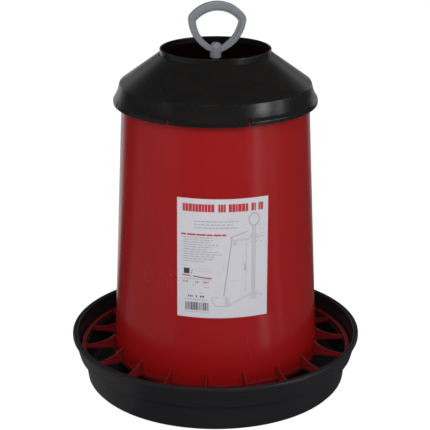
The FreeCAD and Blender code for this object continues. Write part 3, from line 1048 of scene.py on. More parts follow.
@dataclass
class HopperTube:
    """The red tube that narrows upwards."""

    bottom: float = 44.0
    top: float = 441.4
    base_radius: float = 148.5
    taper_degrees: float = 2.69
    wall: float = 3.0
    screw_height: float = 424.0
    screw_hole_radius: float = 2.2
    screw_count: int = 4
    screw_first_angle: float = 45.0
    drill_length: float = 20.0

    def radius(self, height: float) -> float:
        """Returns the outer radius at a height, in millimetres."""
        return self.base_radius - (height - self.bottom) * math.tan(math.radians(self.taper_degrees))

    def build(self, shop: Workshop) -> None:
        """Makes the tube with its four screw holes.

        Args:
            shop: Finishes and trees.
        """
        outline = Outline([
            Corner(self.radius(self.bottom) - self.wall, self.bottom, 0.8, 0.3),
            Corner(self.radius(self.bottom), self.bottom, 1.0, 0.8),
            Corner(self.radius(self.top), self.top, 0.9, 0.8),
            Corner(self.radius(self.top) - self.wall, self.top, 0.9, 0.8)])
        tube = loose_object("hopper_tube", turned("hopper_tube", outline.stations()))
        combine(tube, self._drill(shop), Solid.CUT)
        shop.deliver(tube, Body.HOPPER, Finish.SHELL, "feed_shell")

    def _drill(self, shop: Workshop) -> bpy.types.Object:
        """Makes the cutter for the screw holes.

        Args:
            shop: Finishes and trees.

        Returns:
            The cutter.
        """
        bm = bmesh.new()
        wall = Matrix.Translation((0, -self.radius(self.screw_height) * MM, self.screw_height * MM))
        radius = self.screw_hole_radius * MM
        place = wall @ Matrix.Rotation(math.pi / 2, 4, "X")
        bmesh.ops.create_cone(bm, cap_ends=True, segments=24, radius1=radius, radius2=radius,
                              depth=self.drill_length * MM, matrix=place)
        drill = loose_object("screw_drill", finished_mesh(bm, "screw_drill", None))
        shop.ring.repeat(drill, self.screw_count, self.screw_first_angle)
        return drill


@dataclass
class FeedTray:
    """The black tray with its rolled rim, step, trough, cone, hub and centring lugs."""

    rim_radius: float = 210.0
    rim_top: float = 72.8
    rim_height: float = 6.0
    rim_inner: float = 202.6
    step_radius: float = 201.0
    step_height: float = 41.2
    lower_radius: float = 193.4
    foot_radius: float = 185.0
    wall: float = 3.0
    floor: float = 8.0
    cone_radius: float = 126.0
    cone_degrees: float = 28.3
    hub_radius: float = 18.0
    hub_top: float = 70.0
    hub_bottom: float = 54.0
    bore: float = 5.3
    lug_count: int = 8
    lug_radius: float = 143.4
    lug_top: float = 45.0
    lug_thickness: float = 4.0
    flare_middle: Pair = (204.3, 54.0)
    flare_end_radius: float = 208.6

    def cone_height(self, radius: float) -> float:
        """Returns the height of the cone's upper face at a radius, in millimetres."""
        return self.floor + (self.cone_radius - radius) * math.tan(math.radians(self.cone_degrees))

    def outline(self) -> Outline:
        """Draws the tray's section.

        Returns:
            The closed outline, from the foot up over the rim and back through the hub.
        """
        rim_bottom = self.rim_top - self.rim_height
        foot_inner = self.foot_radius - 6
        trough = self.lower_radius - self.wall - 3
        drop = self.wall / math.cos(math.radians(self.cone_degrees))
        hub = self.hub_radius
        return Outline([
            Corner(foot_inner, 0, 0.8, 0.4),
            Corner(self.foot_radius, 0, 1.2, 0.8),
            Corner(self.foot_radius + 4, 4.5, 4.0),
            Corner(self.lower_radius, self.step_height - 0.8, 0.7),
            Corner(self.step_radius, self.step_height, 0.9, 0.8),
            Corner(*self.flare_middle, 60.0),
            Corner(self.flare_end_radius, rim_bottom, 0.5),
            Corner(self.rim_radius, rim_bottom + 0.4, 0.5, 0.5),
            Corner(self.rim_radius, self.rim_top, 2.4, 1.0),
            Corner(self.rim_inner, self.rim_top, 2.4, 1.0),
            Corner(self.rim_inner - 0.6, rim_bottom - 4, 5.0),
            Corner(self.step_radius - 1.7, self.step_height + 2.3, 1.6),
            Corner(self.lower_radius - self.wall, self.step_height + 1.7, 1.6, 0.4),
            Corner(trough, self.floor + 5, 6.0),
            Corner(trough - 5, self.floor, 4.0),
            Corner(self.cone_radius, self.floor, 14.0),
            Corner(hub, self.cone_height(hub), 0.8),
            Corner(hub, self.hub_top, 0.8, 0.6),
            Corner(self.bore, self.hub_top, 0.4),
            Corner(self.bore, self.hub_bottom, 0.4),
            Corner(hub, self.hub_bottom, 0.8),
            Corner(hub, self.cone_height(hub) - drop, 0.8),
            Corner(self.cone_radius, self.floor - self.wall, 14.0),
            Corner(foot_inner, self.floor - self.wall, 1.0)])

    def lug_outline(self) -> list[Pair]:
        """Returns the outline of one centring lug, as distance from the axis and height.

        Returns:
            The corners, in millimetres.
        """
        r = self.lug_radius
        return [(r, self.floor - 1), (r, self.lug_top - 2), (r - 2, self.lug_top), (r - 10, self.lug_top),
                (r - 12, self.lug_top - 2), (r - 14, 27.0), (r - 27, self.cone_height(r - 27) - 1),
                (self.cone_radius, self.floor - 1)]

    def build(self, shop: Workshop) -> None:
        """Makes the tray as one moulding with its lugs.

        Args:
            shop: Finishes and trees.
        """
        tray = loose_object("tray_dish", turned("tray_dish", self.outline().stations()))
        lugs = loose_object("tray_lugs", slab("tray_lugs", self.lug_outline(), self.lug_thickness, 0.5))
        shop.ring.repeat(lugs, self.lug_count, 0.0)
        combine(tray, lugs, Solid.JOIN)
        shop.deliver(tray, Body.STAND, Finish.TRAY, "feed_tray")


@dataclass
class AntiWasteGrille:
    """The red ring of fins that lies in the tray round the tube's foot."""

    tube: HopperTube
    count: int = 18
    first_angle: float = -4.8
    web: float = 2.5
    bar_width: float = 5.0
    bottom: float = 44.0
    bar_top: float = 49.0
    fin_top: float = 65.0
    dip: Pair = (166.0, 54.6)
    ring_inner: float = 191.5
    ring_outer: float = 198.0
    ring_top: float = 51.0
    channel_inner: float = 144.9
    channel_outer: float = 150.6
    channel_bottom: float = 42.0
    channel_top: float = 48.5
    gap: float = 0.15
    stray_degrees: float = 0.12
    seed: int = 5

    def skin(self, height: float) -> float:
        """Returns the radius of the grille's face against the tube at a height."""
        return self.tube.radius(height) + self.gap

    def channel(self) -> Outline:
        """Draws the section of the seat under the tube's lower edge.

        Returns:
            The closed outline.
        """
        seat = self.bottom - self.gap
        return Outline([
            Corner(self.channel_inner, self.channel_bottom, 0.4),
            Corner(self.channel_outer, self.channel_bottom, 0.6),
            Corner(self.channel_outer, self.channel_top, 0.8, 0.7),
            Corner(self.skin(self.channel_top), self.channel_top, 0.2),
            Corner(self.skin(seat), seat),
            Corner(self.channel_inner, seat, 0.3)])

    def ring(self) -> Outline:
        """Returns the section of the outer ring.

        Returns:
            The section.
        """
        return Outline([
            Corner(self.ring_inner, self.bottom, 0.6),
            Corner(self.ring_outer, self.bottom, 0.6),
            Corner(self.ring_outer, self.ring_top, 1.4, 0.8),
            Corner(self.ring_inner, self.ring_top, 1.4, 0.8)])

    def fin(self) -> bpy.types.Object:
        """Makes one fin: a bar with a web above it.

        Returns:
            The fin, at the front.
        """
        end = self.ring_inner + 1.5
        top = arc_through((self.skin(self.fin_top), self.fin_top), self.dip, (end, self.ring_top - 0.4), 14)
        web = [(self.skin(self.bottom), self.bottom + 0.3)] + top + [(end, self.bottom + 0.3)]
        bar = [(self.skin(self.bottom), self.bottom), (self.skin(self.bar_top), self.bar_top),
               (end, self.bar_top), (end, self.bottom)]
        fin = loose_object("grille_fins", slab("grille_fins", web, self.web, 0.5))
        foot = loose_object("fin_bar", slab("fin_bar", bar, self.bar_width, 0.6))
        combine(fin, foot, Solid.JOIN)
        return fin

    def build(self, shop: Workshop) -> None:
        """Makes the grille as one moulding.

        Args:
            shop: Finishes and trees.
        """
        grille = loose_object("grille", turned("grille", self.channel().stations()))
        combine(grille, loose_object("ring", turned("ring", self.ring().stations())), Solid.JOIN)
        fins = self.fin()
        shop.ring.repeat(fins, self.count, self.first_angle,
                         stray_degrees=self.stray_degrees, seed=self.seed)
        combine(grille, fins, Solid.JOIN)
        shop.deliver(grille, Body.HOPPER, Finish.GRILLE, "anti_waste_grille")


@dataclass
class Lid:
    """The black cone with an open collar, a flared skirt and a slit hem."""

    wall: float = 2.5
    collar_radius: float = 77.2
    collar_top: float = 490.0
    cone_top_radius: float = 78.6
    cone_top: float = 482.0
    cone_degrees: float = 36.0
    shoulder: float = 133.4
    hem_radius: float = 142.4
    hem_top: float = 419.5
    bottom: float = 414.2
    slit_count: int = 8
    slit_first_angle: float = 18.5
    slit_width: float = 3.0
    slit_top: float = 424.6
    flare_outside: tuple[Pair, Pair] = ((136.3, 431.0), (139.4, 424.0))
    flare_inside: tuple[Pair, Pair] = ((137.1, 423.8), (133.9, 431.0))

    def cone_height(self, radius: float) -> float:
        """Returns the height of the cone's outer face at a radius."""
        return self.cone_top - (radius - self.cone_top_radius) * math.tan(math.radians(self.cone_degrees))

    def outline(self) -> Outline:
        """Draws the lid's section.

        Returns:
            The closed outline, down the outside and back up the inside.
        """
        drop = self.wall / math.cos(math.radians(self.cone_degrees))
        inside = self.collar_radius - self.wall
        inner_shoulder = self.shoulder - 2
        return Outline([
            Corner(self.collar_radius, self.cone_top, 0.4),
            Corner(self.cone_top_radius, self.cone_top, 0.5, 0.5),
            Corner(self.shoulder, self.cone_height(self.shoulder), 2.8, 0.7),
            Corner(*self.flare_outside[0], 40.0),
            Corner(*self.flare_outside[1], 9.0),
            Corner(self.hem_radius, self.hem_top, 2.4, 0.3),
            Corner(self.hem_radius, self.bottom, 0.7, 1.0),
            Corner(self.hem_radius - 2.1, self.bottom, 0.6),
            Corner(self.hem_radius - 2.3, self.hem_top - 0.6, 2.0),
            Corner(*self.flare_inside[0], 8.0),
            Corner(*self.flare_inside[1], 38.0),
            Corner(inner_shoulder, self.cone_height(inner_shoulder) - drop, 1.5),
            Corner(inside, self.cone_height(inside) - drop, 0.8),
            Corner(inside, self.collar_top, 1.1, 0.6),
            Corner(self.collar_radius, self.collar_top, 1.1, 1.0)])

    def build(self, shop: Workshop) -> None:
        """Makes the lid and cuts its slits.

        Args:
            shop: Finishes and trees.
        """
        lid = loose_object("lid_cone", turned("lid_cone", self.outline().stations()))
        cut = [(self.shoulder, self.bottom - 1), (self.shoulder, self.slit_top),
               (self.hem_radius + 2, self.slit_top), (self.hem_radius + 2, self.bottom - 1)]
        slits = loose_object("slit_cutter", slab("slit_cutter", cut, self.slit_width))
        shop.ring.repeat(slits, self.slit_count, self.slit_first_angle)
        combine(lid, slits, Solid.CUT)
        shop.deliver(lid, Body.LID, Finish.LID, "lid")


@dataclass(frozen=True)
class Shield:
    """A mirrored loop: an arc over the top and an arc down each side to the throat, in millimetres."""

    corner: Pair
    side: Pair
    throat: Pair
    top: float
    soften: float

    def loop(self) -> list[Pair]:
        """Draws the loop; every shield gives the same number of points, so that two can be skinned.

        Returns:
            The points, from the right throat up the right side and over to the left.
        """
        right = arc_through(self.throat, self.side, self.corner, 30)
        cap = arc_through(self.corner, (0.0, self.top), (-self.corner[0], self.corner[1]), 36)
        left = [(-x, z) for x, z in reversed(right)]
        base = [(-self.throat[0] + 2 * self.throat[0] * step / 6, self.throat[1]) for step in range(7)]
        runs = [right, cap, left, base]
        trimmed = [self._trim(run) for run in runs]
        points: list[Pair] = []
        for index, run in enumerate(trimmed):
            points += run
            ahead = trimmed[(index + 1) % len(trimmed)]
            points += self._blend(run[-1], runs[index][-1], ahead[0])
        return points

    def _trim(self, run: list[Pair]) -> list[Pair]:
        """Resamples a run between the places where its corners start to soften.

        Args:
            run: The run's points.

        Returns:
            As many points, on the part that is kept.
        """
        lengths = [0.0]
        for (x0, z0), (x1, z1) in zip(run, run[1:]):
            lengths.append(lengths[-1] + math.hypot(x1 - x0, z1 - z0))
        cut = min(self.soften, lengths[-1] * 0.3)
        count = len(run) - 1
        return [self._along(run, lengths, cut + (lengths[-1] - 2 * cut) * step / count)
                for step in range(count + 1)]

    @staticmethod
    def _along(run: list[Pair], lengths: list[float], distance: float) -> Pair:
        """Finds a place on a run.

        Args:
            run: The run's points.
            lengths: The distance of each point from the first.
            distance: The distance to go.

        Returns:
            The point at that distance.
        """
        for index in range(len(run) - 1):
            if distance <= lengths[index + 1] or index == len(run) - 2:
                share = (distance - lengths[index]) / (lengths[index + 1] - lengths[index])
                (x0, z0), (x1, z1) = run[index], run[index + 1]
                return x0 + (x1 - x0) * share, z0 + (z1 - z0) * share
        return run[-1]

    @staticmethod
    def _blend(start: Pair, corner: Pair, end: Pair) -> list[Pair]:
        """Softens a corner.

        Args:
            start: Where the softening starts.
            corner: The sharp corner.
            end: Where it ends.

        Returns:
            The inner points of the soft corner.
        """
        points = []
        for share in (0.2, 0.4, 0.6, 0.8):
            a, b, c = (1 - share) ** 2, 2 * share * (1 - share), share ** 2
            x, z = (a * start[axis] + b * corner[axis] + c * end[axis] for axis in (0, 1))
            points.append((x, z))
        return points


@dataclass
class RingHandle:
    """The grey shield-shaped grip with a recessed lip round its hole, on a socket; it leans a little."""

    turn_degrees: float = 12.0
    lean_degrees: float = 2.6
    thickness: float = 10.0
    lip: float = 6.4
    rounding: float = 1.7
    outer: Shield = Shield((40.3, 532.5), (32.2, 504.5), (7.0, 483.9), 554.0, 3.6)
    step: Shield = Shield((33.0, 528.2), (24.4, 504.0), (7.0, 488.8), 544.1, 1.8)
    hole: Shield = Shield((30.1, 526.8), (21.7, 505.4), (7.0, 492.5), 541.2, 1.2)
    socket_radius: float = 8.0
    socket_bottom: float = 476.0
    socket_shoulder: float = 491.0
    socket_top: float = 497.5
    bore: float = 5.05
    rod_top: float = 490.5
    crease: float = 50.0

    def section(self) -> list[tuple[float, float, float]]:
        """Returns the front half of the band's section.

        Returns:
            For each line: the place from 0 at the hole over 1 at the step to 2 at the rim, an
            offset in millimetres from that place towards the rim, and the depth from the middle.
        """
        lip, face, r = self.lip / 2, self.thickness / 2, self.rounding
        lines = [(0.0, 0.0, lip - 0.7), (0.0, 0.2, lip - 0.25), (0.0, 0.6, lip),
                 (1.0, -0.3, lip), (1.0, 0.0, lip + 0.25), (1.0, 0.15, face - 0.8), (1.0, 0.4, face - 0.2),
                 (1.0, 0.9, face), (2.0, -r - 0.6, face)]
        for step in range(5):
            angle = math.pi / 2 * step / 4
            lines.append((2.0, -r + r * math.sin(angle), face - r + r * math.cos(angle)))
        return lines

    def band(self) -> bpy.types.Mesh:
        """Skins the band through its three loops.

        Returns:
            The closed band.
        """
        loops = [self.hole.loop(), self.step.loop(), self.outer.loop()]
        front = self.section()
        lines = front + [(place, offset, -depth) for place, offset, depth in reversed(front)]
        bm = bmesh.new()
        layer = bm.verts.layers.float.new(EDGE_LAYER)
        count = len(loops[0])
        rings = []
        for place, offset, depth in lines:
            ring = []
            for index in range(count):
                at = round(place)
                base = Vector(loops[at][index])
                side = -1 if at > 0 and offset < 0 or at == 2 else 1
                other = Vector(loops[at + side][index])
                spot = base + (other - base).normalized() * side * offset
                vertex = bm.verts.new((spot.x * MM, -depth * MM, spot.y * MM))
                vertex[layer] = 0.9 if place == 2.0 and offset > -self.rounding else 0.0
                ring.append(vertex)
            rings.append(ring)
        for lower, upper in zip(rings, rings[1:] + rings[:1]):
            for index in range(count):
                ahead = (index + 1) % count
                bm.faces.new((lower[index], lower[ahead], upper[ahead], upper[index]))
        return finished_mesh(bm, "handle_grip", self.crease)

    def socket(self) -> Outline:
        """Returns the section of the socket, with its bore for the rod.

        Returns:
            The section.
        """
        r = self.socket_radius
        return Outline([
            Corner(0, self.rod_top),
            Corner(self.bore, self.rod_top, 0.4),
            Corner(self.bore, self.socket_bottom, 0.4),
            Corner(r, self.socket_bottom, 0.8, 0.9),
            Corner(r, self.socket_shoulder, 3.0),
            Corner(r * 0.72, self.socket_top - 1.0, 4.0),
            Corner(0, self.socket_top)], closed=False)

    def build(self, shop: Workshop) -> None:
        """Makes the grip and its socket as one moulding and turns it to its place.

        Args:
            shop: Finishes and trees.
        """
        grip = loose_object("handle_grip", self.band())
        socket = turned("socket", self.socket().stations(), closed=False, segments=96)
        combine(grip, loose_object("socket", socket), Solid.JOIN)
        bore = Outline([
            Corner(0, self.socket_bottom - 3), Corner(self.bore, self.socket_bottom - 3),
            Corner(self.bore, self.rod_top), Corner(0, self.rod_top)], closed=False)
        drill = turned("drill", bore.stations(), closed=False, segments=96)
        combine(grip, loose_object("drill", drill), Solid.CUT)
        foot = Matrix.Translation((0, 0, self.socket_bottom * MM))
        lean = foot @ Matrix.Rotation(math.radians(self.lean_degrees), 4, "Y") @ foot.inverted()
        grip.data.transform(lean @ Matrix.Rotation(math.radians(self.turn_degrees), 4, "Z"))
        shop.deliver(grip, Body.HANDLE, Finish.HANDLE, "handle")


@dataclass
class HandNut:
    """A lobed hand nut with a wide flange on a washer."""

    bore: float = 5.05
    flange_radius: float = 19.0
    flange_height: float = 3.5
    grip_radius: float = 17.0
    height: float = 12.0
    lobes: int = 8
    scallop_radius: float = 4.5
    scallop_centre: float = 19.5

    def depth(self, angle: float) -> float:
        """Works out the scallops between the lobes.

        Args:
            angle: Angle round the nut.

        Returns:
            How far the grip is cut back there, in millimetres.
        """
        pitch = FULL_TURN / self.lobes
        off = (angle + pitch / 2) % pitch - pitch / 2
        sideways = self.scallop_centre * math.sin(off)
        if abs(sideways) >= self.scallop_radius:
            return 0.0
        near = self.scallop_centre * math.cos(off) - math.sqrt(self.scallop_radius ** 2 - sideways ** 2)
        return max(0.0, self.grip_radius - near)

    def build(self, shop: Workshop, name: str, node: str, body: Body, seat: float, way: int) -> None:
        """Makes one nut.

        Args:
            shop: Finishes and trees.
            name: The piece's name.
            node: The CAD node that it stands for.
            body: The body it rides on.
            seat: Height of the flange's seat, in millimetres.
            way: 1 if the grip points up, -1 if it points down.
        """
        bore = self.bore

        def at(height: float) -> float:
            """Returns the place of a height above the seat, which counts along the grip."""
            return seat + way * height

        outline = Outline([
            Corner(bore + 0.8, at(0)),
            Corner(self.flange_radius, at(0), 0.5, 0.6),
            Corner(self.flange_radius, at(self.flange_height - 0.8), 0.6, 0.9),
            Corner(self.grip_radius, at(self.flange_height), 0.2),
            Corner(self.grip_radius, at(self.height), 1.5, 0.9),
            Corner(bore + 0.8, at(self.height)),
            Corner(bore, at(self.height - 0.8)),
            Corner(bore, at(0.8))])
        low = min(at(self.flange_height), at(self.height)) * MM - 0.1 * MM
        high = max(at(self.flange_height), at(self.height)) * MM + 0.1 * MM
        inner, outer = (self.bore + 3) * MM, (self.grip_radius + 0.01) * MM

        def lobed(radius: float, height: float, angle: float) -> float:
            """Returns the radius at an angle, cut back where the grip is scalloped."""
            scalloped = low < height < high and inner <= radius <= outer
            return radius - self.depth(angle) * MM if scalloped else radius

        mesh = turned(name, outline.stations(), segments=self.lobes * 24, rule=lobed)
        shop.deliver(loose_object(name, mesh), body, Finish.NUT, node)


@dataclass
class RodFittings:
    """The threaded rod with its washers and hand nuts, the bridge and its screws."""

    rod_radius: float = 5.0
    core_radius: float = 4.45
    rod_bottom: float = 34.0
    rod_top: float = 490.0
    pitch: float = 1.5
    washer_radius: float = 15.0
    washer_thickness: float = 2.0
    washer_bore: float = 5.3
    screw_count: int = 4

    def rod(self, shop: Workshop) -> None:
        """Makes the rod: a core with a wound thread.

        Args:
            shop: Finishes and trees.
        """
        core = Outline([
            Corner(0, self.rod_bottom),
            Corner(self.core_radius - 0.8, self.rod_bottom),
            Corner(self.core_radius, self.rod_bottom + 1.0),
            Corner(self.core_radius, self.rod_top - 1.0),
            Corner(self.core_radius - 0.8, self.rod_top),
            Corner(0, self.rod_top)], closed=False)
        mesh = turned("rod_core", core.stations(), closed=False, segments=40)
        rod = loose_object("threaded_rod_m10", mesh)
        run = self.rod_top - self.rod_bottom - 2.4
        ridge = self.rod_radius - self.core_radius
        run_tree(rod, shop.thread.tree, {
            "Turns": run / self.pitch, "Radius": self.core_radius * MM, "Ridge": ridge * MM,
            "Bottom": (self.rod_bottom + 1.2) * MM, "Height": run * MM,
            "Finish": shop.paint.get(Finish.ZINC)})
        smooth(rod.data, 50)
        shop.deliver(rod, Body.STAND, Finish.ZINC, "threaded_rod")

    def washer(self, shop: Workshop, node: str, body: Body) -> None:
        """Makes one washer where its CAD node lies.

        Args:
            shop: Finishes and trees.
            node: The CAD node.
            body: The body it rides on.
        """
        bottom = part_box(node)[0].z / MM
        top = bottom + self.washer_thickness
        outline = Outline([
            Corner(self.washer_bore, bottom, 0.2), Corner(self.washer_radius, bottom, 0.4, 0.5),
            Corner(self.washer_radius, top, 0.5, 0.9), Corner(self.washer_bore, top, 0.2, 0.5)])
        mesh = turned(node + "_plated", outline.stations(), segments=96)
        shop.deliver(loose_object(node + "_plated", mesh), body, Finish.ZINC, node)

    def build(self, shop: Workshop) -> None:
        """Makes every fitting on the rod.

        Args:
            shop: Finishes and trees.
        """
        self.rod(shop)
        for place, body in (("tray", Body.STAND), ("bridge", Body.HOPPER)):
            for side in ("upper", "lower"):
                self.washer(shop, f"{place}_washer_{side}", body)
        nut = HandNut()
        nuts = (("tray", "upper", Body.STAND, 1), ("tray", "lower", Body.STAND, -1),
                ("bridge", "upper", Body.UPPER_NUT, 1), ("bridge", "lower", Body.LOWER_NUT, -1))
        for place, side, body, way in nuts:
            node = f"{place}_nut_{side}"
            low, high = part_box(node)
            seat = (low.z if way > 0 else high.z) / MM
            nut.build(shop, f"{place}_hand_nut_{side}", node, body, seat, way)
        shop.dress_node("bridge", Finish.BRIDGE)
        for number in range(1, self.screw_count + 1):
            shop.dress_node(f"bridge_screw_{number}", Finish.ZINC)


# ---- Label ----


@dataclass
class PaperLabel:
    """The paper label on the front of the tube, with artwork that holds no lettering.

    Artwork places count from the label's upper left corner to the right and down, on a sheet of
    128 by 156 steps that is stretched over the whole label.
    """

    tube: HopperTube
    width: float = 126.5
    bottom: float = 147.2
    top: float = 314.8
    centre_degrees: float = 4.25
    tilt_degrees: float = 0.5
    steps_across: float = 128.0
    steps_down: float = 156.0
    gap: float = 0.05
    thickness: float = 0.3
    ink_lift: float = 0.33
    ink_thickness: float = 0.06
    ink_sink: float = 0.04
    columns: int = 64
    rows: int = 40
    corner_lift: float = 0.35
    lift_from: float = 0.82
    seed: int = 11

    def point(self, across: float, down: float, lift: float) -> Vector:
        """Wraps a spot of the label round the tube.

        Args:
            across: Steps from the left edge.
            down: Steps from the top edge.
            lift: Millimetres above the tube's face.

        Returns:
            The place of the spot, in metres.
        """
        tilt = math.tan(math.radians(self.tilt_degrees))
        upright = (self.steps_down / 2 - down) / self.steps_down * (self.top - self.bottom)
        level = (across / self.steps_across - 0.5) * self.width
        height = (self.top + self.bottom) / 2 + upright - level * tilt
        radius = self.tube.radius(height) + lift
        sideways = level + upright * tilt
        angle = math.radians(self.centre_degrees) + sideways / radius
        return Vector((radius * math.sin(angle), -radius * math.cos(angle), height)) * MM

    def sheet(self) -> bpy.types.Mesh:
        """Makes the paper, a closed thin solid whose corners lift a little.

        Returns:
            The sheet.
        """
        columns, rows = self.columns, self.rows
        bm = bmesh.new()
        layer = bm.verts.layers.float.new(EDGE_LAYER)

        def vertex(column: int, row: int, base: float) -> bmesh.types.BMVert:
            """Returns a new vertex of the grid, lifted near the sheet's corners.

            Args:
                column: Column of the point.
                row: Row of the point.
                base: Millimetres above the tube's face.

            Returns:
                The vertex.
            """
            across, down = column / columns, row / rows
            near_corner = max(0.0, abs(2 * across - 1) * abs(2 * down - 1) - self.lift_from)
            lift = base + self.corner_lift * near_corner / (1 - self.lift_from)
            return bm.verts.new(self.point(self.steps_across * across, self.steps_down * down, lift))

        faces = []
        for base in (self.gap, self.gap + self.thickness * 0.8):
            faces.append([[vertex(column, row, base) for column in range(columns + 1)]
                          for row in range(rows + 1)])
        for grid in faces:
            for row in range(rows):
                for column in range(columns):
                    bm.faces.new((grid[row][column], grid[row][column + 1],
                                  grid[row + 1][column + 1], grid[row + 1][column]))
        inner, outer = faces
        border = [(0, c) for c in range(columns)] + [(r, columns) for r in range(rows)]
        border += [(rows, c) for c in range(columns, 0, -1)] + [(r, 0) for r in range(rows, 0, -1)]
        for (r0, c0), (r1, c1) in zip(border, border[1:] + border[:1]):
            bm.faces.new((inner[r0][c0], inner[r1][c1], outer[r1][c1], outer[r0][c0]))
            outer[r0][c0][layer] = 1.0
        return finished_mesh(bm, "paper_label")

    def build(self, shop: Workshop) -> None:
        """Makes the paper and every ink.

        Args:
            shop: Finishes and trees.
        """
        shop.deliver(loose_object("paper_label", self.sheet()), Body.HOPPER, Finish.PAPER, "label")
        artwork = LabelArtwork(self, random.Random(self.seed))
        artwork.draw()
        for finish, strokes in artwork.strokes.items():
            name = "print_" + finish.name.lower()
            shop.deliver(loose_object(name, strokes.mesh(name)), Body.HOPPER, finish)


class Strokes:
    """Collects the strokes of one ink as thin closed slabs on the label."""

    LONGEST_STEP = 4.0

    def __init__(self, label: PaperLabel) -> None:
        """Starts with no strokes."""
        self.label = label
        self.bm = bmesh.new()

    def patch(self, corners: Sequence[Pair]) -> None:
        """Adds a four-sided patch, divided so that it follows the tube.

        Args:
            corners: Upper left, upper right, lower right and lower left.
        """
        label = self.label
        a, b, c, d = (Vector(corner) for corner in corners)
        count = max(1, math.ceil(max((b - a).length, (c - d).length) / self.LONGEST_STEP))
        low, high = [], []
        for step in range(count + 1):
            ends = (a.lerp(b, step / count), d.lerp(c, step / count))
            for layer, lift in ((low, label.ink_lift - label.ink_sink),
                                (high, label.ink_lift + label.ink_thickness)):
                layer.append([self.bm.verts.new(label.point(end.x, end.y, lift)) for end in ends])
        for step in range(count):
            self.bm.faces.new((high[step][0], high[step][1], high[step + 1][1], high[step + 1][0]))
            self.bm.faces.new((low[step][0], low[step + 1][0], low[step + 1][1], low[step][1]))
            self.bm.faces.new((low[step][0], high[step][0], high[step + 1][0], low[step + 1][0]))
            self.bm.faces.new((low[step][1], low[step + 1][1], high[step + 1][1], high[step][1]))
        self.bm.faces.new((low[0][0], low[0][1], high[0][1], high[0][0]))
        self.bm.faces.new((low[-1][0], high[-1][0], high[-1][1], low[-1][1]))

    def mesh(self, name: str) -> bpy.types.Mesh:
        """Returns the strokes as one mesh."""
        return finished_mesh(self.bm, name, None)


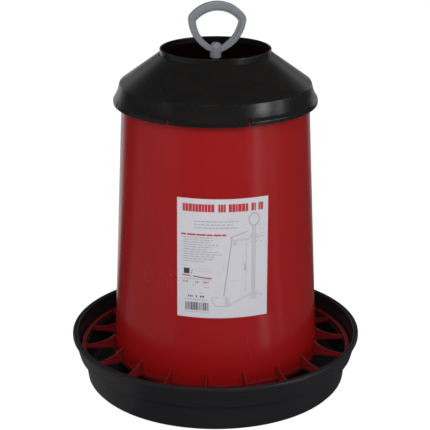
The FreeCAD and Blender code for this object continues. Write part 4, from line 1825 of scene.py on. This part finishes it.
class LabelArtwork:
    """Bars and lines that stand for a heading, paragraphs, a table, a code block and a section drawing."""

    def __init__(self, label: PaperLabel, rng: random.Random) -> None:
        """Starts with one set of strokes for each ink.

        Args:
            label: The sheet to print on.
            rng: The seeded source of word lengths.
        """
        self.rng = rng
        inks = (Finish.RED_INK, Finish.BLACK_INK, Finish.GREY_INK, Finish.FAINT_INK)
        self.strokes = {ink: Strokes(label) for ink in inks}

    def bar(self, ink: Finish, left: float, upper: float, right: float, lower: float) -> None:
        """Prints a rectangle."""
        self.strokes[ink].patch([(left, upper), (right, upper), (right, lower), (left, lower)])

    def line(self, ink: Finish, width: float, *points: Pair) -> None:
        """Prints a line through points.

        Args:
            ink: The line's ink.
            width: Its width in steps.
            *points: Places to the right and down.
        """
        for start, end in zip(points, points[1:]):
            a, b = Vector(start), Vector(end)
            across = (b - a).orthogonal().normalized() * width / 2
            self.strokes[ink].patch([a + across, b + across, b - across, a - across])

    def words(self, ink: Finish, left: float, right: float, down: float, height: float,
              longest: float = 9.0) -> None:
        """Prints a row of bars as long as words.

        Args:
            ink: The bars' ink.
            left: Where the row starts.
            right: Where it ends.
            down: The bars' upper edge.
            height: Their height.
            longest: The longest bar.
        """
        here = left
        while here < right - 1.0:
            length = min(self.rng.uniform(0.3, 1.0) * longest, right - here)
            self.bar(ink, here, down, here + length, down + height)
            here += length + self.rng.uniform(0.9, 1.4)

    def heading(self) -> None:
        """Prints the red heading: upright blocks of mixed width in five groups."""
        for left, right in ((8, 53), (57, 67), (71, 98), (102.5, 109), (113, 121)):
            here = left
            while here < right - 1.0:
                wide = min(self.rng.uniform(2.6, 4.6), right - here)
                self.bar(Finish.RED_INK, here, 6.6, here + wide, 16.6)
                here += wide + 0.7

    def paragraphs(self) -> None:
        """Prints the grey paragraphs and their red subheading."""
        for row, right in enumerate((84, 77, 84)):
            self.words(Finish.GREY_INK, 24, right, 28.3 + row * 4.1, 1.3)
        self.words(Finish.RED_INK, 6, 68, 45.3, 2.1, 14)
        ends = (48, 50, 47, 58, 50, 42, 57, 63, 52, 50, 38)
        for row, right in enumerate(ends):
            down = 49.6 + row * 3.1
            self.words(Finish.GREY_INK, 9, right, down, 1.15)
            if row in (0, 4, 6, 8):
                self.bar(Finish.GREY_INK, 6, down, 7, down + 1.15)
        self.words(Finish.FAINT_INK, 6, 16, 86.8, 1.1)

    def table(self) -> None:
        """Prints the small table: a dark block, rules and rows of figures."""
        self.bar(Finish.BLACK_INK, 9.7, 90.8, 17.8, 98.0)
        self.line(Finish.BLACK_INK, 0.7, (21.8, 92.0), (20.4, 98.2))
        self.line(Finish.FAINT_INK, 0.6, (26.0, 91.0), (48.5, 91.3))
        self.words(Finish.FAINT_INK, 30, 46, 93.6, 1.3)
        self.line(Finish.RED_INK, 1.3, (6.5, 99.9), (19.5, 101.0))
        self.line(Finish.BLACK_INK, 1.2, (23.0, 101.0), (36.0, 102.2))
        self.line(Finish.RED_INK, 1.5, (36.0, 102.2), (48.8, 103.2))
        self.words(Finish.GREY_INK, 6.5, 48, 104.3, 1.1, 5)
        for left, right in ((8.5, 17.0), (26.0, 30.8), (37.6, 45.8)):
            self.words(Finish.BLACK_INK, left, right, 107.6, 2.0, 2.2)
        self.bar(Finish.GREY_INK, 22, 112.6, 24.4, 113.8)
        self.bar(Finish.GREY_INK, 38, 115.0, 45, 116.0)
        self.bar(Finish.GREY_INK, 32, 122.8, 35.5, 123.6)
        for left, right in ((15.5, 22.5), (26.5, 29.2), (32.5, 39.4)):
            self.words(Finish.BLACK_INK, left, right, 126.4, 2.4, 2.6)
        self.words(Finish.GREY_INK, 11, 44, 131.4, 1.2, 5)

    def code_block(self) -> None:
        """Prints an evenly varied block of upright lines and a row of dots under it."""
        here = 11.4
        while here < 45.0:
            width = self.rng.choice((0.45, 0.45, 0.9, 1.5))
            self.bar(Finish.BLACK_INK, here, 135.6, min(here + width, 45.6), 146.2)
            here += width + self.rng.choice((0.5, 0.8, 1.3))
        for step in range(13):
            self.bar(Finish.GREY_INK, 11.4 + step * 2.65, 147.6, 12.7 + step * 2.65, 149.0)

    def section_drawing(self) -> None:
        """Prints the section of the feeder in light grey: ring, rod, tube wall, lid, bridge and tray."""
        ring = [(107 + 7.6 * math.sin(FULL_TURN * s / 28), 27.8 - 8.0 * math.cos(FULL_TURN * s / 28))
                for s in range(29)]
        ink = Finish.FAINT_INK
        self.line(Finish.GREY_INK, 1.4, *ring)
        self.bar(ink, 104.2, 36.2, 109.2, 129.0)
        self.line(Finish.GREY_INK, 0.5, (104.2, 36.2), (104.2, 122.0))
        self.line(Finish.GREY_INK, 0.5, (109.2, 36.2), (109.2, 122.0))
        self.line(Finish.GREY_INK, 1.5, (76.0, 50.6), (65.0, 126.8))
        self.line(Finish.GREY_INK, 1.1, (73.9, 52.4), (73.9, 49.2), (97.8, 42.6))
        self.line(ink, 2.6, (77.0, 53.4), (101.0, 52.6))
        self.line(ink, 2.6, (111.0, 52.0), (122.0, 50.6))
        self.bar(ink, 77.0, 53.0, 83.0, 60.0)
        for upper, half in ((47.2, 6.4), (50.4, 4.4), (55.6, 6.0), (122.8, 5.4), (130.0, 5.0)):
            self.bar(ink, 106.8 - half, upper, 106.8 + half, upper + 2.6)
        self.bar(ink, 101.2, 124.6, 112.4, 129.4)
        self.line(Finish.GREY_INK, 0.9, (48.8, 131.2), (53.4, 140.0), (73.0, 140.0))
        self.line(ink, 2.2, (73.0, 139.0), (101.0, 126.0))
        self.line(ink, 2.2, (111.0, 125.6), (121.0, 129.6))
        self.strokes[ink].patch([(67.0, 126.4), (69.6, 126.4), (74.6, 138.4), (66.6, 139.4)])
        self.line(Finish.GREY_INK, 0.4, (96.4, 60.4), (96.0, 119.6))
        self.line(ink, 0.4, (84.8, 39.0), (96.2, 52.4))
        marks = ((96.4, 58.8), (95.8, 119.8), (65.2, 84.0), (65.0, 89.6), (117.6, 47.0), (117.4, 57.6))
        for across, down in marks:
            self.bar(Finish.GREY_INK, across - 0.7, down - 0.7, across + 0.7, down + 0.7)
        self.bar(Finish.GREY_INK, 93.2, 84.6, 95.2, 94.0)
        for left, right, down, height in (
                (114, 123, 36.0, 1.5), (115, 122, 40.4, 1.5), (74, 84, 105.8, 1.6), (48, 60, 128.0, 1.5)):
            self.words(ink, left, right, down, height, 4)

    def draw(self) -> None:
        """Prints everything."""
        self.heading()
        self.paragraphs()
        self.table()
        self.code_block()
        self.section_drawing()


# ---- Stage ----


@dataclass(frozen=True)
class Panel:
    """A bright or dim part of the surroundings that shows in the feeder's shiny faces.

    Azimuths are degrees from the front, positive to the right. Lowest and highest are the sine of the
    elevation for a wall panel, and metres from the feeder's axis for a floor panel.
    """

    left: float
    right: float
    level: float
    lowest: float = -2.0
    highest: float = 99.0
    soft: float = 4.0
    soft_height: float = 0.05

    def add(self, graph: Graph, azimuth: bpy.types.NodeSocket, height: SocketValue,
            under: SocketValue) -> bpy.types.NodeSocket:
        """Lays the panel over what is already there.

        Args:
            graph: The tree to add to.
            azimuth: The azimuth in degrees.
            height: The sine of the elevation, or the distance from the axis on the floor.
            under: The level without the panel.

        Returns:
            The level with the panel.
        """
        shares = []
        for value, low, high, soft in ((azimuth, self.left, self.right, self.soft),
                                       (height, self.lowest, self.highest, self.soft_height)):
            shares.append(graph.math("MULTIPLY", graph.ramp(value, low - soft, low + soft),
                                     graph.ramp(value, high - soft, high + soft, 1.0, 0.0)))
        share = graph.math("MULTIPLY", *shares)
        return graph.node("ShaderNodeMix", {0: share, 2: under, 3: self.level}).outputs[0]


@dataclass(frozen=True)
class Lamp:
    """A soft light that looks at the feeder's middle and stays out of reflections.

    Azimuth is in degrees to the right of the front and elevation in degrees above the horizon.
    """

    name: str
    azimuth: float
    elevation: float
    size: Pair
    watts: float
    distance: float = 2.6

    def build(self) -> None:
        """Makes the light."""
        low, high = cad_box
        a, e = math.radians(self.azimuth), math.radians(self.elevation)
        away = Vector((math.sin(a) * math.cos(e), -math.cos(a) * math.cos(e), math.sin(e)))
        data = bpy.data.lights.new(self.name, "AREA")
        data.shape = "RECTANGLE"
        data.size, data.size_y = self.size
        data.energy = self.watts
        lamp = bpy.data.objects.new(self.name, data)
        lamp.location = (low + high) / 2 + away * self.distance
        lamp.rotation_euler = (-away).to_track_quat("-Z", "Y").to_euler()
        lamp.visible_camera = False
        lamp.visible_glossy = False
        bpy.context.scene.collection.objects.link(lamp)


@dataclass
class Studio:
    """White surroundings, a pale floor, soft lights and the camera."""

    camera_place: tuple[float, float, float] = (0.0, -1.8069, 0.8786)
    camera_tilt: float = 70.69
    camera_shift: float = -0.5 / 430
    lens: float = 111.57
    seen_white: float = 1.14
    dim_level: float = 0.05
    diffuse_low: float = 0.62
    diffuse_high: float = 0.12
    walls: tuple[Panel, ...] = (
        Panel(-106, -14, 0.12, -2.0, 0.14, 6.0),
        Panel(-226, -142, 0.70, -2.0, 0.05),
        Panel(144, 226, 0.50, -2.0, 0.05),
        Panel(-158, -138, 0.76, -2.0, 0.34, 5.0, 0.18),
        Panel(140, 158, 0.68, -2.0, 0.33, 5.0, 0.18),
        Panel(51, 63, 6.0, -0.04, 0.45, 3.0),
        Panel(77, 82, 4.0, -0.04, 0.45, 1.5),
        Panel(-62, -56, 0.45, -0.04, 0.45, 2.0))
    ground: tuple[Panel, ...] = (
        Panel(-106, -40, 0.17, soft=5.0),
        Panel(40, 100, 0.08, soft=8.0),
        Panel(-132, -108, 0.03),
        Panel(-226, -138, 0.75),
        Panel(146, 226, 0.36),
        Panel(45.5, 51.5, 0.95, 0.33, 99.0, 2.5, 0.10),
        Panel(66, 70, 0.36, 0.33, 99.0, 2.5, 0.10))
    lamps: tuple[Lamp, ...] = (
        Lamp("front_fill", 0, 38, (2.4, 1.0), 44),
        Lamp("left_fill", -66, 6, (1.4, 1.2), 14),
        Lamp("right_fill", 56, 6, (1.4, 1.2), 8),
        Lamp("back_fill", 170, 30, (2.0, 1.2), 12))
    ground_level: float = 0.058
    floor_reach: float = 12.0
    floor_whiteness: float = 0.86
    floor_colour: Colour = (0.80, 0.80, 0.80)
    bounce_colour: Colour = (0.78, 0.78, 0.79)

    def camera(self) -> None:
        """Makes the camera."""
        data = bpy.data.cameras.new("studio_camera")
        data.lens = self.lens
        data.shift_x = self.camera_shift
        data.clip_end = 50.0
        camera = bpy.data.objects.new("studio_camera", data)
        camera.location = self.camera_place
        camera.rotation_euler = (math.radians(self.camera_tilt), 0, 0)
        bpy.context.scene.collection.objects.link(camera)
        bpy.context.scene.camera = camera

    @staticmethod
    def azimuth(graph: Graph, x: bpy.types.NodeSocket, y: bpy.types.NodeSocket) -> bpy.types.NodeSocket:
        """Returns the azimuth of a direction in degrees from the front."""
        turn = graph.math("ARCTAN2", x, graph.math("MULTIPLY", y, -1.0))
        return graph.math("MULTIPLY", turn, 180 / math.pi)

    def surroundings(self) -> None:
        """Makes the world: white to look at, even for soft light, and panelled for reflections."""
        world = bpy.data.worlds.new("studio")
        bpy.context.scene.world = world
        world.use_nodes = True
        g = Graph(world.node_tree)
        way = g.node("ShaderNodeSeparateXYZ", {0: g.node("ShaderNodeTexCoord").outputs["Generated"]})
        azimuth = self.azimuth(g, way.outputs["X"], way.outputs["Y"])
        level: SocketValue = self.dim_level
        for panel in self.walls:
            level = panel.add(g, azimuth, way.outputs["Z"], level)
        path = g.node("ShaderNodeLightPath")
        even = g.ramp(way.outputs["Z"], 0.05, 0.40, self.diffuse_low, self.diffuse_high)
        diffuse = g.node("ShaderNodeMix", {0: path.outputs["Is Diffuse Ray"], 2: level, 3: even})
        seen = g.node("ShaderNodeMix", {
            0: path.outputs["Is Camera Ray"], 2: diffuse.outputs[0], 3: self.seen_white})
        background = world.node_tree.nodes["Background"]
        g.feed(background, {"Strength": seen.outputs[0], "Color": (1, 1, 1, 1)})

    def floor(self) -> None:
        """Makes the pale floor, which keeps only a faint shadow."""
        low, _ = cad_box
        bm = bmesh.new()
        bmesh.ops.create_grid(bm, x_segments=1, y_segments=1, size=self.floor_reach,
                              matrix=Matrix.Translation((0, 0, low.z - 0.02 * MM)))
        mesh = bpy.data.meshes.new("studio_floor")
        bm.to_mesh(mesh)
        bm.free()
        floor = loose_object("studio_floor", mesh)
        material = bpy.data.materials.new("pale_floor")
        material.use_nodes = True
        material.node_tree.nodes.clear()
        g = Graph(material.node_tree)
        place = g.node("ShaderNodeSeparateXYZ", {0: g.place()})
        azimuth = self.azimuth(g, place.outputs["X"], place.outputs["Y"])
        reach = g.node("ShaderNodeVectorMath", {0: g.place()}, operation="LENGTH").outputs["Value"]
        level: SocketValue = self.ground_level
        for panel in self.ground:
            level = panel.add(g, azimuth, reach, level)
        path = g.node("ShaderNodeLightPath")
        lit = g.node("ShaderNodeBsdfDiffuse", {"Color": (*self.floor_colour, 1)})
        white = g.node("ShaderNodeEmission", {"Color": (1, 1, 1, 1), "Strength": self.seen_white})
        seen = g.node("ShaderNodeMixShader", {
            0: self.floor_whiteness, 1: lit.outputs[0], 2: white.outputs[0]})
        bounce = g.node("ShaderNodeBsdfDiffuse", {"Color": (*self.bounce_colour, 1)})
        shine = g.node("ShaderNodeEmission", {"Color": (1, 1, 1, 1), "Strength": level})
        hidden = g.node("ShaderNodeMixShader", {
            0: path.outputs["Is Glossy Ray"], 1: bounce.outputs[0], 2: shine.outputs[0]})
        both = g.node("ShaderNodeMixShader", {
            0: path.outputs["Is Camera Ray"], 1: hidden.outputs[0], 2: seen.outputs[0]})
        g.node("ShaderNodeOutputMaterial", {"Surface": both.outputs[0]})
        floor.data.materials.append(material)

    def build(self) -> None:
        """Makes everything round the feeder."""
        self.camera()
        self.surroundings()
        self.floor()
        for lamp in self.lamps:
            lamp.build()
        settings = bpy.context.scene.view_settings
        settings.view_transform = "Standard"
        settings.look = "None"


def main() -> None:
    """Builds the feeder's sub-assemblies in order, then the stage."""
    logging.basicConfig(level=logging.INFO, format="%(message)s")
    shop = Workshop(Paintbox(), RingArray(), ThreadTree())
    tube = HopperTube()
    FeedTray().build(shop)
    tube.build(shop)
    AntiWasteGrille(tube).build(shop)
    Lid().build(shop)
    RingHandle().build(shop)
    RodFittings().build(shop)
    PaperLabel(tube).build(shop)
    Studio().build()


if __name__ == "__main__":
    main()
